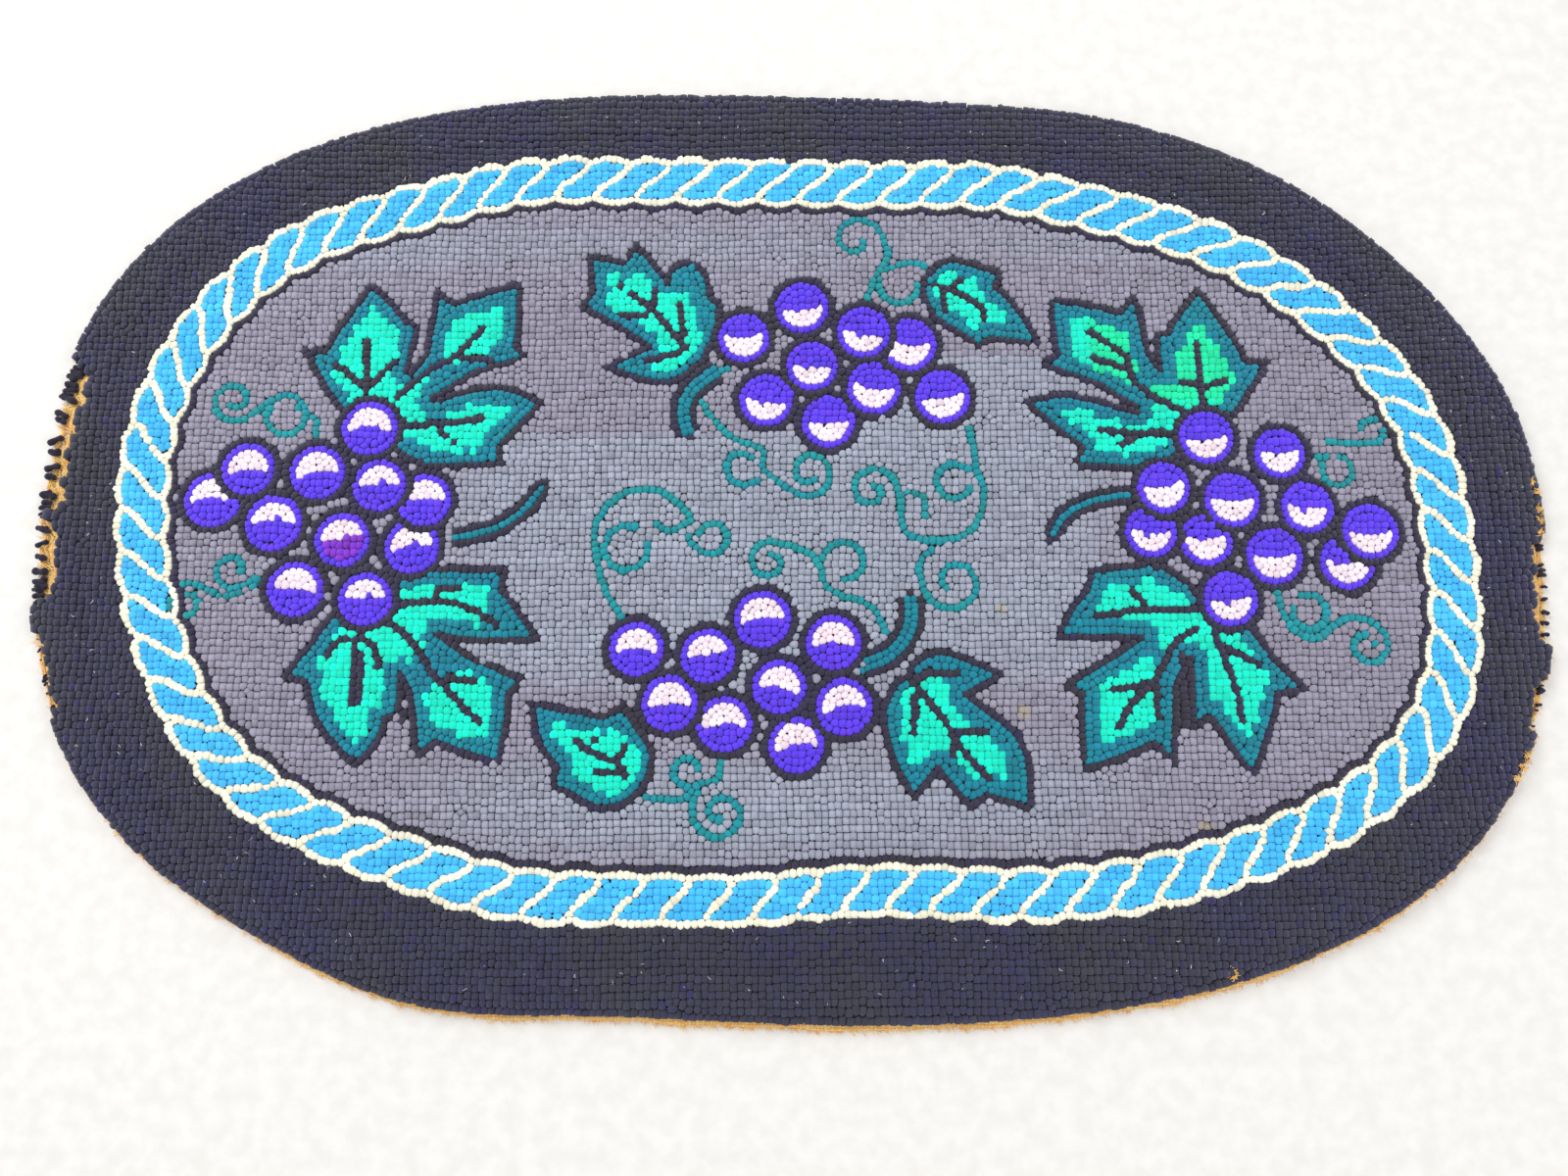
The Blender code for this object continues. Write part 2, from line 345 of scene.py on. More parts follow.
@dataclass
class Pile:
    """Where every loop of the rug stands, how it is turned, and which yarn it is hooked with."""

    chance: np.random.Generator
    rounds: list[tuple[float, float, float]] = field(default_factory=list)
    x: np.ndarray = field(default_factory=lambda: np.zeros(0))
    y: np.ndarray = field(default_factory=lambda: np.zeros(0))
    turn: np.ndarray = field(default_factory=lambda: np.zeros(0))
    yarn: np.ndarray = field(default_factory=lambda: np.zeros(0, int))
    free: np.ndarray = field(default_factory=lambda: np.zeros(0, bool))

    def add(self, x: np.ndarray, y: np.ndarray, turn: np.ndarray, yarn: np.ndarray, free: bool) -> None:
        """Adds loops.

        Args:
            x: Places along the rug.
            y: Places across it.
            turn: How each is turned, in radians.
            yarn: The number of each one's yarn.
            free: Whether they may be eased among their neighbours later.
        """
        self.x = np.concatenate([self.x, x])
        self.y = np.concatenate([self.y, y])
        self.turn = np.concatenate([self.turn, turn])
        self.yarn = np.concatenate([self.yarn, yarn])
        self.free = np.concatenate([self.free, np.full(len(x), free)])

    def hook_line(
        self,
        path: np.ndarray,
        yarn: Yarn,
        closed: bool = False,
        clear: float = ROW_CLEAR,
        wander: float = 0.00018,
    ) -> None:
        """Hooks one row of loops along a line, and leaves out those with no room.

        Args:
            path: The line's points, from the rug's middle.
            yarn: The row's yarn.
            closed: Whether the line comes back to its start.
            clear: The least room to the loops that are there.
            wander: How far its loops stray from the line.
        """
        if closed:
            path = np.vstack([path, path[:1]])
        steps = np.hypot(*np.diff(path, axis=0).T)
        along = np.concatenate([[0.0], np.cumsum(steps)])
        count = max(1, round(along[-1] / ROW_PITCH))
        at = np.arange(count if closed else count + 1) * along[-1] / count
        spot = np.stack([np.interp(at, along, path[:, k]) for k in (0, 1)], axis=1)
        ahead = np.stack([np.interp(at + 0.002, along, path[:, k]) for k in (0, 1)], axis=1)
        behind = np.stack([np.interp(at - 0.002, along, path[:, k]) for k in (0, 1)], axis=1)
        run = ahead - behind
        spot = spot + self.chance.normal(0.0, wander, spot.shape)
        kept = []
        for i, (px, py) in enumerate(spot):
            if any(math.hypot(px - cx, py - cy) < radius for cx, cy, radius in self.rounds):
                continue
            near = np.hypot(self.x - px, self.y - py)
            own = [math.dist(spot[i], spot[k]) for k in kept]
            if (not len(near) or near.min() > clear) and (not own or min(own) > 0.78 * ROW_PITCH):
                kept.append(i)
        turn = np.arctan2(run[kept, 1], run[kept, 0])
        self.add(spot[kept, 0], spot[kept, 1], turn, np.full(len(kept), yarn.value), False)

    def tree(self) -> kdtree.KDTree:
        """A search tree of all the loops."""
        tree = kdtree.KDTree(len(self.x))
        for i, (px, py) in enumerate(zip(self.x, self.y)):
            tree.insert((px, py, 0.0), i)
        tree.balance()
        return tree

    def cells(self) -> np.ndarray:
        """How far each loop can swell towards eight sides before it meets its neighbours.

        Returns:
            Eight reaches for each loop, from the way it is turned and then round it.
        """
        tree = self.tree()
        near = np.array(
            [[n[1] for n in tree.find_n((px, py, 0.0), 13)][1:] for px, py in zip(self.x, self.y)]
        )
        dx = self.x[near] - self.x[:, None]
        dy = self.y[near] - self.y[:, None]
        half = (dx**2 + dy**2) / 2.0
        reaches = []
        for k in range(8):
            way = self.turn + k * math.pi / 4.0
            facing = dx * np.cos(way)[:, None] + dy * np.sin(way)[:, None]
            meet = np.where(facing > 1e-5, half / np.maximum(facing, 1e-5), 1.0)
            crowd = (meet**-CELL_SHARPNESS).sum(axis=1) + LOOP_REACH**-CELL_SHARPNESS
            reaches.append(crowd ** (-1.0 / CELL_SHARPNESS))
        return np.stack(reaches, axis=1)

    def ease(self, rounds: int) -> None:
        """Moves the free loops towards the middle of the room they have.

        Args:
            rounds: How many times.
        """
        for _ in range(rounds):
            reaches = self.cells()
            ways = self.turn[:, None] + np.arange(8) * math.pi / 4.0
            px, py = reaches * np.cos(ways), reaches * np.sin(ways)
            cross = px * np.roll(py, -1, axis=1) - np.roll(px, -1, axis=1) * py
            area = cross.sum(axis=1)
            shift_x = ((px + np.roll(px, -1, axis=1)) * cross).sum(axis=1) / (3.0 * area)
            shift_y = ((py + np.roll(py, -1, axis=1)) * cross).sum(axis=1) / (3.0 * area)
            self.x += np.where(self.free, 0.7 * shift_x, 0.0)
            self.y += np.where(self.free, 0.7 * shift_y, 0.0)


# Motifs, charted in loops of COLUMN


@dataclass(frozen=True)
class Grape:
    """A round grape with a light crescent."""

    x: float
    y: float
    radius: float
    glow_deg: float
    glow_span: float

    def away(self, x: np.ndarray, y: np.ndarray) -> np.ndarray:
        """Distance of some places from the grape's middle, in loops."""
        return np.hypot(x / COLUMN - self.x, y / COLUMN - self.y)

    def hook(self, pile: Pile) -> None:
        """Hooks the grape's ring, its crescent and its dark outline.

        Args:
            pile: The rug's loops.
        """
        angles = np.linspace(0.0, 2.0 * math.pi, 40, endpoint=False)
        circle = np.stack([np.cos(angles), np.sin(angles)], axis=1)
        centre = np.array([self.x, self.y])
        pile.hook_line((centre + circle * (self.radius - 0.5)) * COLUMN, Yarn.GRAPE, closed=True)
        middle = math.radians(self.glow_deg)
        for row, span in enumerate(
            (self.glow_span + 6.0, self.glow_span - 6.0, 1.2 * self.glow_span - 62.0)
        ):
            half = math.radians(max(span, 1.0))
            arc = np.linspace(middle + half, middle - half, 14)
            bow = np.stack([np.cos(arc), np.sin(arc)], axis=1) * (self.radius - 1.45 - 0.94 * row)
            pile.hook_line((centre + bow) * COLUMN, Yarn.HIGHLIGHT)
        pile.hook_line((centre + circle * (self.radius + 0.52)) * COLUMN, Yarn.OUTLINE, True, wander=0.0003)
        pile.rounds.append((self.x * COLUMN, self.y * COLUMN, (self.radius - 0.1) * COLUMN))


@dataclass(frozen=True)
class LobeSide:
    """One side of a lobe: where it swells, and the barb and the notch beyond, if it has them."""

    belly: tuple[float, float]
    barb: tuple[float, float] | None = None
    notch: tuple[float, float] | None = None
    bow: float = 1.2


@dataclass(frozen=True)
class Lobe:
    """One pointed lobe of a leaf, charted in loops by its base, its tip and its two sides."""

    base: tuple[float, float]
    tip: tuple[float, float]
    left: LobeSide
    right: LobeSide
    light: tuple[float, float] = (0.0, 1.0)
    rim: float = 2.4
    swell: float = 0.45
    margin: float = 0.5

    def shape(self, side: LobeSide) -> np.ndarray:
        """One side of the lobe.

        Args:
            side: The side.

        Returns:
            Its line from base to tip: the share of the way, and the loops aside.
        """
        base, tip = np.array(self.base), np.array(self.tip)
        run = tip - base
        length = float(np.hypot(*run))

        def measured(point: tuple[float, float], margin: float) -> tuple[float, float]:
            """A point's share of the way and its loops aside, a margin further out."""
            away = np.array(point) - base
            aside = float(run[0] * away[1] - run[1] * away[0]) / length
            return float(run @ away) / length**2, aside + math.copysign(margin, aside)

        at, aside = measured(side.belly, self.margin)
        rise = np.linspace(0.0, 1.0, 8)
        parts = [np.stack([at * rise, aside * rise**self.swell], axis=1)]
        if side.barb and side.notch:
            parts.append(
                np.array([measured(side.barb, 1.4 * self.margin), measured(side.notch, self.margin)])
            )
        at, aside = parts[-1][-1]
        end = 1.0 + 1.3 * self.margin / length
        run_on = np.linspace(0.0, 1.0, 9)[1:]
        parts.append(np.stack([at + (end - at) * run_on, aside * (1.0 - run_on**side.bow)], axis=1))
        return np.vstack(parts)

    def outline(self) -> np.ndarray:
        """The lobe's closed outline, in loops, round by its left side."""
        line = np.vstack([self.shape(self.left)[:-1], self.shape(self.right)[:0:-1]])
        base, run = np.array(self.base), np.array(self.tip) - np.array(self.base)
        left = np.array([-run[1], run[0]]) / np.hypot(*run)
        corners = base + line[:, :1] * run + line[:, 1:] * left
        after = np.roll(corners, -1, axis=0)
        share = np.linspace(0.0, 1.0, 5)[:-1, None, None]
        return (corners * (1.0 - share) + after * share).transpose(1, 0, 2).reshape(-1, 2)

    def holds(self, points: np.ndarray) -> np.ndarray:
        """Which points, in loops, lie inside the lobe."""
        corners = self.outline()
        after = np.roll(corners, -1, axis=0)
        x, y = points[:, :1], points[:, 1:]
        above = (corners[:, 1] > y) != (after[:, 1] > y)
        run = after - corners
        slope = run[:, 0] / np.where(run[:, 1] == 0.0, 1e-9, run[:, 1])
        crosses = above & (x < corners[:, 0] + (y - corners[:, 1]) * slope)
        return crosses.sum(axis=1) % 2 == 1


@dataclass(frozen=True)
class Leaf:
    """A leaf of one or more lobes: dark outline and veins, teal rim and light heart."""

    lobes: tuple[Lobe, ...]
    veins: tuple[tuple[tuple[float, float], ...], ...]
    reach: float = 3.0

    def edges(self) -> list[tuple[np.ndarray, np.ndarray]]:
        """Each lobe's outline, and which of its points no other lobe holds."""
        found = []
        for lobe in self.lobes:
            line = lobe.outline()
            free = np.ones(len(line), bool)
            for other in self.lobes:
                if other is not lobe:
                    free &= ~other.holds(line)
            found.append((line, free))
        return found

    def depth(self, points: np.ndarray) -> np.ndarray:
        """How deep inside the leaf some points lie.

        Args:
            points: Points in loops, one a row.

        Returns:
            The depth of each in loops, less than nothing outside.
        """
        edge = np.vstack([line[free] for line, free in self.edges()])
        low, high = edge.min(axis=0) - self.reach, edge.max(axis=0) + self.reach
        near = np.flatnonzero(((points > low) & (points < high)).all(axis=1))
        close = points[near]
        depth = np.full(len(points), -self.reach)
        away = np.hypot(close[:, :1] - edge[:, 0], close[:, 1:] - edge[:, 1]).min(axis=1)
        inside = np.any([lobe.holds(close) for lobe in self.lobes], axis=0)
        depth[near] = np.where(inside, away, -away)
        return depth

    def heart(self, points: np.ndarray, depth: np.ndarray) -> np.ndarray:
        """Which points belong to the light heart.

        Args:
            points: Points in loops.
            depth: Their depths in the leaf.

        Returns:
            True for each point in it.
        """
        from_base = np.hypot(*(points - np.array(self.lobes[0].base)).T)
        narrow = 0.45 + 0.55 * smooth_step(from_base, 2.0, 6.5)
        found = np.zeros(len(points), bool)
        for lobe in self.lobes:
            run = np.array(lobe.tip) - np.array(lobe.base)
            way = (points - np.array(lobe.base)) @ run / float(run @ run)
            lit = (way >= lobe.light[0]) & (way <= lobe.light[1]) & (depth > lobe.rim * narrow)
            found[lit] |= lobe.holds(points[lit])
        return found

    def hook(self, pile: Pile) -> None:
        """Hooks the leaf's outline, its veins and the rows of its rim.

        Args:
            pile: The rug's loops.
        """
        for line, free in self.edges():
            closed = np.vstack([line, line[:1]])
            for stretch in runs(closed, np.append(free, free[0])):
                pile.hook_line(stretch * COLUMN, Yarn.OUTLINE, wander=0.0003)
        for vein in self.veins:
            pile.hook_line(through(np.array(vein), 4) * COLUMN, Yarn.OUTLINE, clear=0.0034)
        for line, free in self.edges():
            run = np.roll(line, -2, axis=0) - np.roll(line, 2, axis=0)
            run /= np.maximum(np.hypot(run[:, 0], run[:, 1]), 1e-9)[:, None]
            inner = line + np.stack([run[:, 1], -run[:, 0]], axis=1)
            depth = self.depth(inner)
            held = free & (np.abs(depth - 1.0) < 0.24) & ~self.heart(inner, depth - 0.3)
            for stretch in runs(inner, held):
                pile.hook_line(stretch * COLUMN, Yarn.TEAL)


def runs(line: np.ndarray, kept: np.ndarray) -> list[np.ndarray]:
    """The stretches of a line that are kept.

    Args:
        line: The line's points.
        kept: Which of them are kept.

    Returns:
        Each unbroken stretch of two points or more.
    """
    edges = np.flatnonzero(np.diff(kept.astype(int))) + 1
    parts = np.split(np.arange(len(line)), edges)
    return [line[part] for part in parts if kept[part[0]] and len(part) > 1]


@dataclass(frozen=True)
class Stem:
    """A short thick stem: teal, with a dark row on either side."""

    start: tuple[float, float]
    bend: tuple[float, float]
    end: tuple[float, float]
    rows: int = 1

    def hook(self, pile: Pile) -> None:
        """Hooks the stem.

        Args:
            pile: The rug's loops.
        """
        t = np.linspace(0.0, 1.0, 14)[:, None]
        a, b, c = (np.array(point) for point in (self.start, self.bend, self.end))
        line = a * (1 - t) ** 2 + 2 * b * t * (1 - t) + c * t**2
        run = np.gradient(line, axis=0)
        run /= np.hypot(run[:, 0], run[:, 1])[:, None]
        left = np.stack([-run[:, 1], run[:, 0]], axis=1)
        for row in range(self.rows):
            pile.hook_line((line + left * (row - (self.rows - 1) / 2.0)) * COLUMN, Yarn.TEAL)
        tip = line[-1] + run[-1] * 1.1
        away = (self.rows + 1) / 2.0
        for side in (-away, away):
            pile.hook_line(np.vstack([line + left * side, tip]) * COLUMN, Yarn.OUTLINE)


@dataclass(frozen=True)
class Curl:
    """A spiral stretch of a tendril, in loops, turned anticlockwise where its sweep is more than nothing."""

    x: float
    y: float
    first_radius: float
    last_radius: float
    first_deg: float
    sweep_deg: float

    def points(self) -> np.ndarray:
        """Points along the curl, in loops."""
        count = max(3, round(abs(self.sweep_deg) / 35.0))
        share = np.linspace(0.0, 1.0, count)
        angle = np.radians(self.first_deg + self.sweep_deg * share)
        radius = self.first_radius + (self.last_radius - self.first_radius) * share
        return np.stack([self.x + radius * np.cos(angle), self.y + radius * np.sin(angle)], axis=1)


@dataclass(frozen=True)
class Tendril:
    """A tendril one loop wide: curls joined by easy lines."""

    parts: tuple[Curl | tuple[float, float], ...]

    def hook(self, pile: Pile) -> None:
        """Hooks the tendril.

        Args:
            pile: The rug's loops.
        """
        points = [part.points() if isinstance(part, Curl) else np.array([part]) for part in self.parts]
        pile.hook_line(through(np.vstack(points), 8) * COLUMN, Yarn.TENDRIL)


@dataclass(frozen=True)
class RopeBand:
    """The rope border: strands between two cream lines, and a dark line inside."""

    strands: int = 80
    half: float = 0.0121
    swell: float = 0.0038
    swell_less: float = 0.0020
    slant: float = 0.0235
    slant_less: float = 0.0080
    curve: float = 0.0022
    dark_line: float = 0.0042

    def hook(self, pile: Pile) -> None:
        """Hooks the band's cream and dark lines.

        Args:
            pile: The rug's loops.
        """
        bearings = np.linspace(0.0, 360.0, 1441)
        middle = ROPE_LINE.points(bearings, 0.0)
        steps = np.hypot(*np.diff(middle, axis=0).T)
        along = np.concatenate([[0.0], np.cumsum(steps)])
        pitch = along[-1] / self.strands

        below = np.exp(-(((bearings - 268.0) / 40.0) ** 2))
        slant = self.slant - self.slant_less * below

        def swollen(side: int) -> np.ndarray:
            """Inset of the band's line on one side, swelling over each strand."""
            phase = ((along - side * slant / 2.0) / pitch) % 1.0
            swell = self.swell - self.swell_less * below
            return side * (self.half + swell * np.sin(math.pi * phase) ** 0.8)

        pile.hook_line(ROPE_LINE.points(bearings, swollen(1))[:-1], Yarn.CREAM, closed=True)
        pile.hook_line(ROPE_LINE.points(bearings, swollen(-1))[:-1], Yarn.CREAM, closed=True)
        t = np.linspace(-0.5, 0.5, 11)
        for strand in range(self.strands):
            tilt = float(np.interp(strand * pitch, along, slant))
            where = strand * pitch + tilt * t + self.curve * np.sin(2.0 * math.pi * t)
            at = np.interp(where % along[-1], along, bearings)
            line = ROPE_LINE.points(at, 2.0 * (self.half + 0.001) * t)
            pile.hook_line(line, Yarn.CREAM, clear=0.0029)
        inner = ROPE_LINE.points(bearings, swollen(1) + self.dark_line)[:-1]
        pile.hook_line(inner, Yarn.OUTLINE, closed=True)

    def holds(self, x: np.ndarray, y: np.ndarray) -> np.ndarray:
        """Which places lie on the rope's strands."""
        return np.abs(ROPE_LINE.depth(x, y)) < self.half + 0.0014


@dataclass
class Design:
    """The whole design, and how it is hooked."""

    rope: RopeBand = field(default_factory=RopeBand)
    clusters: tuple[tuple[float, tuple[tuple[float, float], ...]], ...] = (
        (
            90.0,
            (
                (-64, 15), (-82, 8.5), (-71.5, 8), (-62, 6), (-55, 3.7), (-87, 3.7), (-77.5, 0),
                (-67, -2.5), (-56.5, -3.5), (-73.5, -10), (-63, -11.5),
            ),
        ),
        (
            -90.0,
            (
                (63.5, 13.5), (74.5, 11), (56.6, 5.6), (66.8, 3.7), (78, 2.5), (87.2, -1.2), (54.3, -1.2),
                (62.5, -2.5), (72.5, -5), (83.4, -5.9), (65.5, -11.5),
            ),
        ),
        (
            -90.0,
            ((-7, 29.5), (
                2, 34.5
            ), (11.5, 30.5), (18.5, 28.5), (3.5, 25), (-3.5, 19.5), (13, 21.5), (6, 16), (23.5, 20)),
        ),
        (
            90.0,
            (
                (-22.5, -19), (-12, -20), (-4, -14.5), (6.5, -18), (-17.5, -27), (-9.5, -30),
                (-1.5, -24.5), (8, -27.5), (1, -33),
            ),
        ),
    )
    leaves: tuple[Leaf, ...] = (
        Leaf(
            (
                Lobe(
                    (-63.5, 16), (-65, 37.6), LobeSide((-71.3, 22.5), (-74.2, 27.9), (-71, 27.3)),
                    LobeSide((-59.0, 26), (-58.3, 31.3), (-60, 32.2)), rim=2.1,
                ),
                Lobe(
                    (-62, 17.5), (-42.6, 37.8), LobeSide((-55.6, 26.5), (-54.3, 36.6), (-51.6, 34.8)),
                    LobeSide((-49, 24.2), (-41.2, 26.8), (-42.7, 28.6)), light=(0.44, 1.0), rim=2.7,
                ),
                Lobe(
                    (-62, 15.5), (-38.8, 19), LobeSide((-47, 21), bow=2.0),
                    LobeSide((-55, 9.4), (-43.8, 9.9), (-44.3, 12.7)), rim=2.7,
                ),
                Lobe((
                    -63.5, 16
                ), (-55, 22.4), LobeSide((-60.5, 23.3), bow=1.6), LobeSide((-55.8, 17.5), bow=1.6)),
            ),
            (
                ((-64.8, 20), (-65.3, 29)), ((-65, 21.5), (-69.8, 25.2)), ((-64.5, 21.5), (-61, 25.5)),
                ((-61.5, 18.5), (-57.5, 22.5), (-53.8, 25.3), (-51.5, 26.5), (-47.4, 31.2)),
                ((-51.5, 26.3), (-46, 26)), ((-60, 15.5), (-51.5, 15.8), (-47, 16.6)),
                ((-53.8, 15), (-51, 12.8)),
            ),
        ),
        Leaf(
            (
                Lobe(
                    (-61.5, -12.5), (-37.9, -17.4), LobeSide((-54, -7.3), (-42.6, -7.8), (-43, -10.6)),
                    LobeSide((-50, -16.8), bow=1.6), light=(0.0, 0.68),
                ),
                Lobe(
                    (-60.5, -14), (-42.6, -35), LobeSide((-48, -20.2), (-39.6, -23.9), (-41.6, -26)),
                    LobeSide((-55.2, -25), (-53.4, -34.2), (-51, -32.2)), light=(0.49, 1.0),
                ),
                Lobe(
                    (-64, -12.5), (-62.8, -35.2),
                    LobeSide((-57.8, -22), (-57.6, -28.3), (-59.6, -29.3), 2.0),
                    LobeSide((-70, -18), (-73.4, -22.8), (-70.2, -23.9), 2.0),
                ),
                Lobe((
                    -63, -13
                ), (-54.2, -19.4), LobeSide((-55, -14.5), bow=1.6), LobeSide((-60, -20.4), bow=1.6)),
            ),
            (
                ((-64, -16.5), (-64, -27)), ((-63, -20), (-63, -26.5)),
                ((-64.5, -17.3), (-66.5, -17.8), (-68, -19.8)),
                ((-63, -17.3), (-61, -19), (-60.6, -21.5)),
                ((-61, -14.5), (-57, -16.5), (-54.5, -19.5), (-52, -23), (-45.3, -29.7)),
                ((-52, -23), (-46.5, -23.6)), ((-60, -12.6), (-52, -11.8), (-47, -13), (-43.5, -15.2)),
                ((-52.5, -11), (-52, -9.9), (-49.3, -9.8)), ((-56.3, -25.5), (-56.5, -29.5)),
            ),
        ),
        Leaf(
            (
                Lobe(
                    (63.5, 15), (63.7, 36.8), LobeSide((57.8, 22.5), (57.3, 29.6), (59.2, 30.4)),
                    LobeSide((69.5, 20), (73.4, 25.8), (70, 25.6)), rim=3.0,
                ),
                Lobe(
                    (60.5, 16.5), (41.2, 35.4), LobeSide((48, 22.3), (39.2, 25.8), (41.8, 27.3)),
                    LobeSide((55.1, 26.5), (53.3, 36.0), (50.8, 33.2)), light=(0.36, 1.0), rim=2.6,
                ),
                Lobe(
                    (61.5, 14), (37.1, 18.8), LobeSide((52, 9.1), (43.5, 9.9), (44.8, 12.6)),
                    LobeSide((43, 19.9), bow=1.6), rim=2.3,
                ),
                Lobe((63, 15), (53.6, 20.2), LobeSide((54.5, 16), bow=1.6), LobeSide((59.5, 21.7), bow=1.6)),
            ),
            (
                ((63.4, 19), (63, 28.5)), ((63.2, 21.7), (60.5, 22.3)), ((63.4, 21.5), (67, 22.6)),
                ((61, 17.5), (57, 19.5), (53, 22.5), (51.8, 26.5), (46.5, 30.6)),
                ((53, 24), (49, 25.5), (46.8, 26.4)), ((60, 14.2), (52, 14.3), (47.6, 14.6)),
                ((52.6, 13.4), (50.6, 12.2)),
            ),
        ),
        Leaf(
            (
                Lobe(
                    (61.5, -13), (40, -17), LobeSide((53.5, -16.8), bow=1.0),
                    LobeSide((54.5, -6.6), (45.3, -7.8), (44.2, -10.8)), light=(0.0, 0.72), rim=2.6,
                ),
                Lobe(
                    (60.5, -15.5), (43.2, -36), LobeSide((56.3, -24), (55.2, -35.3), (52.5, -32.4)),
                    LobeSide((49, -19.7), (40.7, -24.9), (43.4, -25.6)), light=(0.30, 1.0), rim=2.6,
                ),
                Lobe(
                    (63.5, -13), (67, -36.8), LobeSide((70.5, -20), (75, -25.2), (71, -25.6)),
                    LobeSide((59.5, -22), (59.7, -30.2), (62, -28.6)),
                ),
                Lobe((
                    63, -13
                ), (54.6, -18.8), LobeSide((60, -19.4), bow=1.6), LobeSide((55.5, -14.5), bow=1.6)),
            ),
            (
                ((60, -13), (52, -13.2), (45.5, -14)), ((53, -12.8), (51, -10.3)),
                ((60, -16), (57, -18), (53.6, -23.5), (50, -27), (48, -30.3)),
                ((53.6, -23.6), (47.5, -25)), ((53.8, -24.5), (53.8, -28.7)),
                ((62.8, -16.5), (64, -20), (65.5, -25), (66, -29.5)), ((63.8, -18.5), (69, -21.2)),
                ((57.9, -20), (57.8, -30)),
            ),
        ),
        Leaf(
            (
                Lobe(
                    (-15.5, 26.5), (-30.7, 42.5), LobeSide((-26, 31.7), (-31.7, 35.2), (-30.1, 37.8)),
                    LobeSide((-19.2, 38.3), (-24.2, 44.5), (-26.3, 41.6)),
                ),
                Lobe(
                    (-15.2, 24.5), (-15.4, 41.7), LobeSide((-18.8, 37), (-17.8, 40.9), (-16.7, 41.6)),
                    LobeSide((-11.8, 31.5), (-11.2, 34.8), (-12.9, 36.3), 3.0), rim=3.1,
                ),
                Lobe((-14, 26), (-27.3, 24.8), LobeSide((-18.5, 22.8), bow=1.6), LobeSide((-21, 27.8))),
            ),
            (
                ((-16, 28), (-20.8, 33.7), (-24.6, 37)), ((-26.4, 38.2), (-25.7, 38.2)),
                ((-21.3, 33.3), (-26, 33.3)), ((-21, 34.5), (-21, 37.2)),
                ((-16.2, 28.3), (-16.4, 31), (-17, 35)), ((-16.3, 27.6), (-18.7, 26.7), (-22, 26)),
            ),
        ),
        Leaf(
            (
                Lobe(
                    (21.3, 39.5), (38, 29), LobeSide((25.5, 42.3), (32.7, 39.7), (31.8, 37.6), 1.6),
                    LobeSide((23, 33.2), (29.8, 28.9), (31.5, 30)),
                ),
            ),
            (
                ((21.8, 38.6), (24.5, 37.7), (27, 36.6), (30, 34.6), (30.4, 33)),
                ((25.7, 38.3), (26.8, 39.1)), ((24, 37), (24.3, 34.2)),
            ),
        ),
        Leaf(
            (
                Lobe(
                    (-21.5, -39.5), (-37.2, -27.4),
                    LobeSide((-27, -41.8), (-33.8, -38.2), (-33.4, -35.6), 2.0),
                    LobeSide((-20.3, -34), (-24.8, -27.7), (-27.3, -29.3), 1.0),
                ),
            ),
            (
                ((-23.8, -37.3), (-24.5, -35.8), (-27, -34.8), (-29.5, -33.6), (-31, -32.4)),
                ((-24.8, -35.5), (-24, -33.4)), ((-25, -37), (-28, -36.9)),
                ((-29, -33.5), (-28.4, -32.3)),
            ),
        ),
        Leaf(
            (
                Lobe(
                    (17.5, -22.8), (30.4, -22.8), LobeSide((21.5, -19.8), bow=1.6),
                    LobeSide((24.5, -25.7)), light=(2.0, 2.0),
                ),
                Lobe(
                    (18, -23), (34.2, -41.3), LobeSide((32, -31), bow=2.0),
                    LobeSide((22.5, -37), (26.3, -41.3), (29, -39.9)), rim=3.0,
                ),
                Lobe((17.5, -23), (18, -39.8), LobeSide((21.3, -35.6)), LobeSide((14.2, -28), bow=2.2)),
            ),
            (
                ((18, -24), (20, -22.8), (24.5, -22.5)),
                ((19, -25), (23, -30), (24, -32.5), (28.8, -37.8)), ((23.7, -31.2), (28.5, -31)),
                ((23.6, -32.8), (23.8, -34.5)), ((18.4, -25), (18.2, -31.2)),
            ),
        ),
    )
    stems: tuple[Stem, ...] = (
        Stem((-50, -2), (-41.5, -1.5), (-37.5, 5.5)), Stem((51, 4.5), (42, 4), (39.5, -1.5)),
        Stem((-11.5, 24), (-18, 20), (-15.5, 14.5), 2), Stem((10.5, -21.5), (19, -19.5), (18, -11.5), 2),
    )
